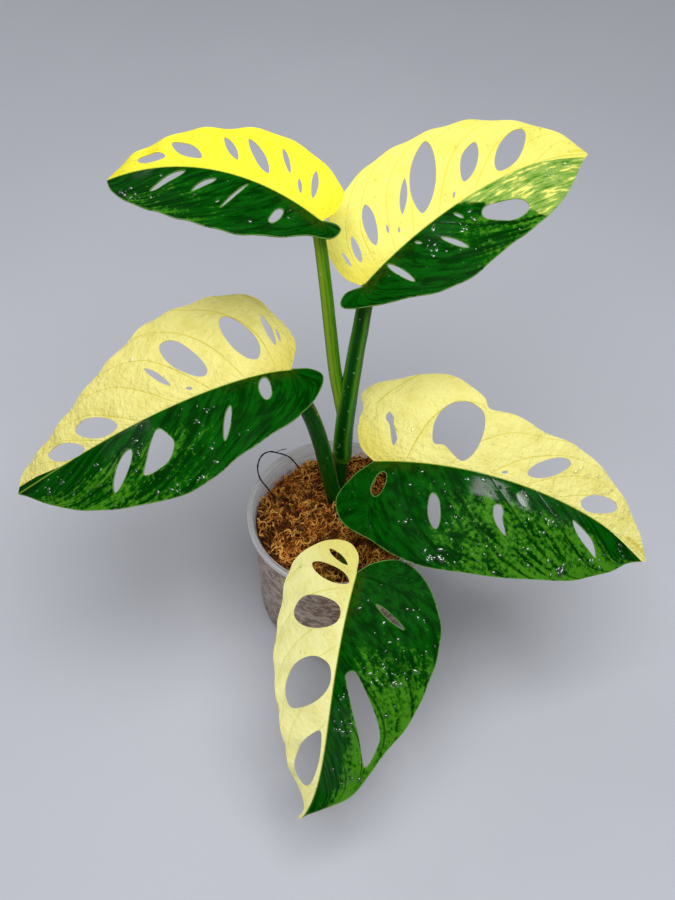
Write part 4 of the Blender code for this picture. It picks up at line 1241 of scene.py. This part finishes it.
def make_root():
    """The dry black root: a loop with a knobbly skin and a short side root."""
    ends = [point_in_pot(share, bearing, 0) for share, bearing in (ROOT_START, ROOT_END)]
    for place in ends:
        place[2] = moss_height(place[0], place[1]) - ROOT_SINK
    way = [ends[0]] + [point_in_pot(*point) for point in ROOT_WAY] + [ends[1]]
    side = [way[2], way[2] + (0.003, 0.0005, 0.0018), way[2] + (0.0065, 0.001, 0.0022)]
    points, faces = [], []
    for number, line in enumerate((way, side)):
        line = even_way(line, 0.0012)
        slim = 1.0 - 0.5 * number
        rings = []
        for i, (centre, tangent) in enumerate(zip(line, directions(line))):
            radius = ROOT_RADIUS * slim * (1 + 0.18 * math.sin(2.1 * i) + 0.12 * math.sin(5.3 * i))
            rings.append(round_ring(centre, tangent, np.array((0.3, 0.2, 1.0)),
                                    np.full(10, radius)))
        add_shape(points, faces, tube(rings))
    return new_object("wiry_root_fine", new_mesh("wiry_root_fine", points, faces), root_material())


# ------------------------------------------------------------------ moss

def wall_radius(height):
    """Outside radius of the pot's wall at a height."""
    return FOOT_RADIUS + (WALL_TOP_RADIUS - FOOT_RADIUS) * height / POT_HEIGHT


def corner(radius, height, size, steps=6):
    """A quarter round from the underside to the wall, outward and up."""
    arc = []
    for step in range(steps + 1):
        angle = math.radians(90 * step / steps)
        arc.append((radius - size + size * math.sin(angle), height + size - size * math.cos(angle)))
    return arc


def moss_height(x, y):
    """Top of the moss: a lumpy mound that falls away at the back left."""
    reach = WALL_TOP_RADIUS - WALL
    away = min(1.0, math.hypot(x, y) / reach)
    dip_x, dip_y = -0.62 * reach, 0.66 * reach
    dip = math.exp(-((x - dip_x) ** 2 + (y - dip_y) ** 2) / (0.50 * reach) ** 2)
    lumps = noise.noise((x * 110, y * 110, 0.5)) + 0.45 * noise.noise((x * 240, y * 240, 4.5))
    return (POT_HEIGHT - MOSS_BELOW_RIM + MOSS_MOUND * (1 - away ** 2)
            - MOSS_DIP * dip + MOSS_LUMPS * lumps)


MOSS_SINK = 0.0020          # the bed, whose top is painted nearly black as the shade under the strands, lies this much under the strands' top
STRANDS = 1000              # in each of the two layers
STRAND_STEP = 0.0013


def make_moss_bed(material):
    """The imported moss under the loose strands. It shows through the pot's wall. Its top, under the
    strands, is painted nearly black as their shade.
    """
    inset = WALL + CLEARANCE
    sides = 120
    profile = [(0, inset)] + corner(FOOT_RADIUS - inset, inset, FOOT_ROUND - inset)
    edge_low = profile[-1][1]
    edge_high = POT_HEIGHT - MOSS_BELOW_RIM - MOSS_DIP
    profile += [(wall_radius(z) - inset, z) for z in np.linspace(edge_low, edge_high, 34)[1:]]
    top = np.linspace(1.0, 0.04, 26)
    profile += [(share, POT_HEIGHT) for share in top] + [(0, POT_HEIGHT)]
    points, faces = turned(profile, sides)
    reach = WALL_TOP_RADIUS - inset
    shaped = []
    for x, y, z in points:
        if z == POT_HEIGHT:
            height = moss_height(x * reach, y * reach) - MOSS_SINK
            radius = wall_radius(height) - inset
            x, y, z = x * radius, y * radius, height
        elif z > inset + 0.001:
            dent = noise.noise((x * 160, y * 160, z * 210)) + noise.noise((x * 400, y * 400, z * 400))
            radius = 1 - 0.022 * max(0.0, dent)
            x, y = x * radius, y * radius
        shaped.append((x, y, z))
    mesh = new_mesh("moss_bed", shaped, faces)
    tints = [0.5 + 0.5 * noise.noise((p[0] * 300, p[1] * 300, p[2] * 700)) for p in shaped]
    add_values(mesh, "tint", "FLOAT", "POINT", tints)
    # painted shade: the top, above the wall's edge, is marked to be painted nearly black as the shade under
    # the strands
    deep = POT_HEIGHT - MOSS_BELOW_RIM - MOSS_DIP
    add_values(mesh, "buried", "FLOAT", "POINT", [float(p[2] > deep) for p in shaped])
    return new_object("moss_bed", mesh, material)


def strand_line(lift, curl_size):
    """One strand's way over the mound: it wanders, winds like a loose spring and lifts off."""
    reach = WALL_TOP_RADIUS - WALL - 0.0016
    radius = reach * math.sqrt(rng.random())
    bearing = rng.uniform(0, 2 * math.pi)
    x, y = radius * math.cos(bearing), radius * math.sin(bearing)
    heading = rng.uniform(0, 2 * math.pi)
    turning = rng.normal(0, 0.35)
    winding = rng.uniform(0.9, 1.6)
    phase = rng.uniform(0, 2 * math.pi)
    count = int(rng.integers(7, 12))
    line = []
    for i in range(count):
        share = i / (count - 1)
        swing = curl_size * math.sin(winding * i + phase)
        heave = curl_size * math.cos(winding * i + phase)
        side_x, side_y = -math.sin(heading) * swing, math.cos(heading) * swing
        z = moss_height(x, y) - MOSS_SINK + lift * math.sin(math.pi * share) + heave + curl_size
        line.append((x + side_x, y + side_y, z))
        heading += turning + rng.normal(0, 0.25)
        x += STRAND_STEP * math.cos(heading)
        y += STRAND_STEP * math.sin(heading)
        away = math.hypot(x, y)
        if away > reach:
            x, y = x * reach / away, y * reach / away
            heading += 1.3
    return smooth_way(line, 2)


def make_strands(name, material, girths, lifts, curl_size, paleness_and_light):
    """A layer of curly loose strands, each a thin tube with small bracts along it."""
    points, faces, tints = [], [], []
    for _ in range(STRANDS):
        lift = rng.uniform(*lifts)
        line = strand_line(lift, curl_size)
        girth = rng.uniform(*girths)
        rings = []
        for i, (centre, tangent) in enumerate(zip(line, directions(line))):
            taper = math.sin(math.pi * (0.15 + 0.75 * i / (len(line) - 1)))
            bract = 1.3 if i % 2 else 0.8
            rings.append(round_ring(centre, tangent, np.array((0.2, 0.1, 1.0)),
                                    np.full(4, girth * taper * bract)))
        strand = tube(rings)
        add_shape(points, faces, strand)
        # partly painted light: a strand is painted lighter the higher it lifts off the mound and darker low
        # down; the rest of its tint is its own, at random
        tint = paleness_and_light + 0.35 * (lift - lifts[0]) / (lifts[1] - lifts[0]) + rng.normal(0, 0.33)
        tints += [min(1.0, max(0.0, tint))] * len(strand[0])
    mesh = new_mesh(name, points, faces)
    add_values(mesh, "tint", "FLOAT", "POINT", tints)
    return new_object(name, mesh, material)


# ------------------------------------------------------------------ pot

def make_pot():
    """The clear pot: a rolled rim of two bands, faint moulded rings and drainage slots."""
    rim_low = POT_HEIGHT - RIM_DEPTH
    rim_radius = WALL_TOP_RADIUS + RIM_OVERHANG
    edge = RIM_EDGE
    outside = corner(FOOT_RADIUS, 0, FOOT_ROUND)
    inside = corner(FOOT_RADIUS - WALL, WALL, FOOT_ROUND - WALL)
    wall = []
    for height in np.linspace(0.006, rim_low - 0.001, 60):
        ring = sum(math.exp(-((height - at) / 0.0007) ** 2) for at in MOULDED_RINGS)
        wall.append((wall_radius(height) + 0.00025 * ring, height))
    profile = [(0, 0), (0.020, 0), (0.040, 0)] + outside + wall
    profile += [(wall_radius(rim_low), rim_low), (rim_radius - edge, rim_low)]
    profile += [(rim_radius - edge * (1 - math.sin(a)), rim_low + edge * (1 - math.cos(a)))
                for a in np.radians((30, 60, 90))]
    groove = rim_low + RIM_DEPTH * 0.45
    profile += [(rim_radius, groove - 0.0005), (rim_radius - 0.0004, groove),
                (rim_radius, groove + 0.0005)]
    profile += [(rim_radius - edge * (1 - math.cos(a)), POT_HEIGHT - edge * (1 - math.sin(a)))
                for a in np.radians((0, 30, 60, 90))]
    lip = rim_radius - RIM_WIDTH
    profile += [(lip + 0.0012, POT_HEIGHT), (lip + 0.0006, POT_HEIGHT - 0.0004), (lip, POT_HEIGHT - 0.0008),
                (lip, rim_low + WALL + edge), (wall_radius(rim_low) - WALL, rim_low)]
    profile += [(radius - WALL, height) for radius, height in wall[::-6]]
    profile += inside[::-1] + [(0.040, WALL), (0.020, WALL), (0, WALL)]
    points, faces = turned(profile, 144)
    pot = new_object("pot_clear", new_mesh("pot_clear", points, faces), pot_material())
    for slot in range(SLOT_COUNT):
        cut_slot(pot, 2 * math.pi * (slot + 0.5) / SLOT_COUNT)
    graph = bpy.context.evaluated_depsgraph_get()
    cut_mesh = bpy.data.meshes.new_from_object(pot.evaluated_get(graph))
    pot.modifiers.clear()
    pot.data = cut_mesh
    for cutter in [obj for obj in bpy.data.objects if obj.name.startswith("slot_cutter")]:
        bpy.data.objects.remove(cutter)
    return pot


def cut_slot(pot, angle):
    """A round-ended drainage slot through the pot's lower corner."""
    shape = bmesh.new()
    bmesh.ops.create_cube(shape, size=1.0)
    for vert in shape.verts:
        vert.co.x = FOOT_RADIUS + FOOT_ROUND if vert.co.x > 0 else FOOT_RADIUS - SLOT_RUN
        vert.co.y *= SLOT_WIDTH
        vert.co.z = SLOT_RISE if vert.co.z > 0 else -FOOT_ROUND
    long_edges = [edge for edge in shape.edges
                  if abs(edge.verts[0].co.y - edge.verts[1].co.y) < 1e-6]
    bmesh.ops.bevel(shape, geom=long_edges, offset=SLOT_WIDTH * 0.3, segments=3, affect="EDGES")
    mesh = bpy.data.meshes.new("slot_cutter")
    shape.to_mesh(mesh)
    shape.free()
    cutter = bpy.data.objects.new("slot_cutter", mesh)
    bpy.context.scene.collection.objects.link(cutter)
    cutter.rotation_euler.z = angle
    cutter.hide_render = True
    modifier = pot.modifiers.new("slot", "BOOLEAN")
    modifier.operation = "DIFFERENCE"
    modifier.solver = "EXACT"
    modifier.object = cutter
    bpy.context.view_layer.update()


# ------------------------------------------------------------------ room, light and camera

CAMERA_PLACE = (0.000875, -0.339063, 0.576125)
CAMERA_DIP = 51.6           # below the horizon
CAMERA_LENS = 40.0


def make_camera():
    """The camera of the reference view."""
    camera = bpy.data.cameras.new("camera")
    camera.lens = CAMERA_LENS
    camera.sensor_width = 36.0
    camera.clip_start = 0.01
    obj = bpy.data.objects.new("camera", camera)
    obj.location = CAMERA_PLACE
    obj.rotation_euler = (math.radians(90 - CAMERA_DIP), 0, 0)
    bpy.context.scene.collection.objects.link(obj)
    bpy.context.scene.camera = obj


def make_light(name, place, size, power, aim=(0.0, 0.0, 0.12)):
    """A soft rectangular light turned to the plant."""
    light = bpy.data.lights.new(name, "AREA")
    light.shape = "RECTANGLE"
    light.size, light.size_y = size
    light.energy = power
    obj = bpy.data.objects.new(name, light)
    obj.location = place
    way = Vector(aim) - Vector(place)
    obj.rotation_euler = way.to_track_quat("-Z", "Y").to_euler()
    bpy.context.scene.collection.objects.link(obj)


def make_room():
    """A plain pale table under soft light."""
    n = Nodes("table", Specular_IOR_Level=0.3)
    grain = n.noise(n.object_point(), 300.0, 3.0)
    cloud = n.noise(n.object_point(), 3.0, 2.0)
    colour = n.mix(n.step(cloud, 0.3, 0.7), (0.535, 0.545, 0.605), (0.560, 0.570, 0.630))
    n.bump(grain, 0.0002, 0.1)
    table = n.finish(Base_Color=colour, Roughness=0.6)
    corners = [(x * FLOOR_REACH, y * FLOOR_REACH, 0) for x, y in ((-1, -1), (1, -1), (1, 1), (-1, 1))]
    floor = new_object("table", new_mesh("table", corners, [(0, 1, 2, 3)]), table)
    world = bpy.data.worlds.new("studio")
    world.use_nodes = True
    background = world.node_tree.nodes["Background"]
    background.inputs["Color"].default_value = (0.93, 0.96, 1.0, 1.0)
    background.inputs["Strength"].default_value = 0.20
    bpy.context.scene.world = world
    make_light("overhead", (0.10, -0.30, 1.40), (1.1, 0.8), 16.5)
    make_light("window", (-0.80, 0.55, 1.0), (0.25, 0.7), 2.2)
    bpy.context.scene.view_settings.view_transform = "Standard"


# ------------------------------------------------------------------ the whole plant

def place_piece(obj, slot, *nodes):
    """Puts a piece on the plant's body, in place of any CAD nodes named. Its slot is not used."""
    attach(obj, "root")
    if nodes:
        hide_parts(*nodes)


def build():
    """Makes the room, the camera, the pot and every part of the plant."""
    make_room()
    make_camera()
    place_piece(make_pot(), "clear_pot", "pot")
    # the packed moss's top is painted nearly black as shade under the strands; the loose strands get none
    # of this bed shade
    place_piece(make_moss_bed(moss_material("packed_moss", 0.93)), "moss", "moss")
    loose = moss_material("loose_moss", 0.0)
    place_piece(make_strands("moss_strands", loose, (0.00030, 0.00062), (0.0002, 0.0022),
                             0.0006, 0.10), "moss")
    # this layer lifts higher and starts lighter, partly its own paleness and partly painted light
    place_piece(make_strands("moss_curls", loose, (0.00020, 0.00042), (0.0014, 0.0050),
                             0.0012, 0.35), "moss")
    place_piece(make_root(), "root", "wiry_root")
    place_piece(make_stem(), "stem", "stem")
    leaves = {}
    for leaf in LEAVES:
        material = leaf_material(leaf)
        blade = make_blade(leaf, material)
        place_piece(blade, "leaf", leaf.name)
        place_piece(make_drops(leaf, material), "leaf")
        leaves[leaf.name.replace("leaf", "stalk")] = (leaf, blade)
    for stalk in STALKS:
        place_piece(make_stalk(stalk, *leaves[stalk.name]), "stalk", stalk.name)


build()
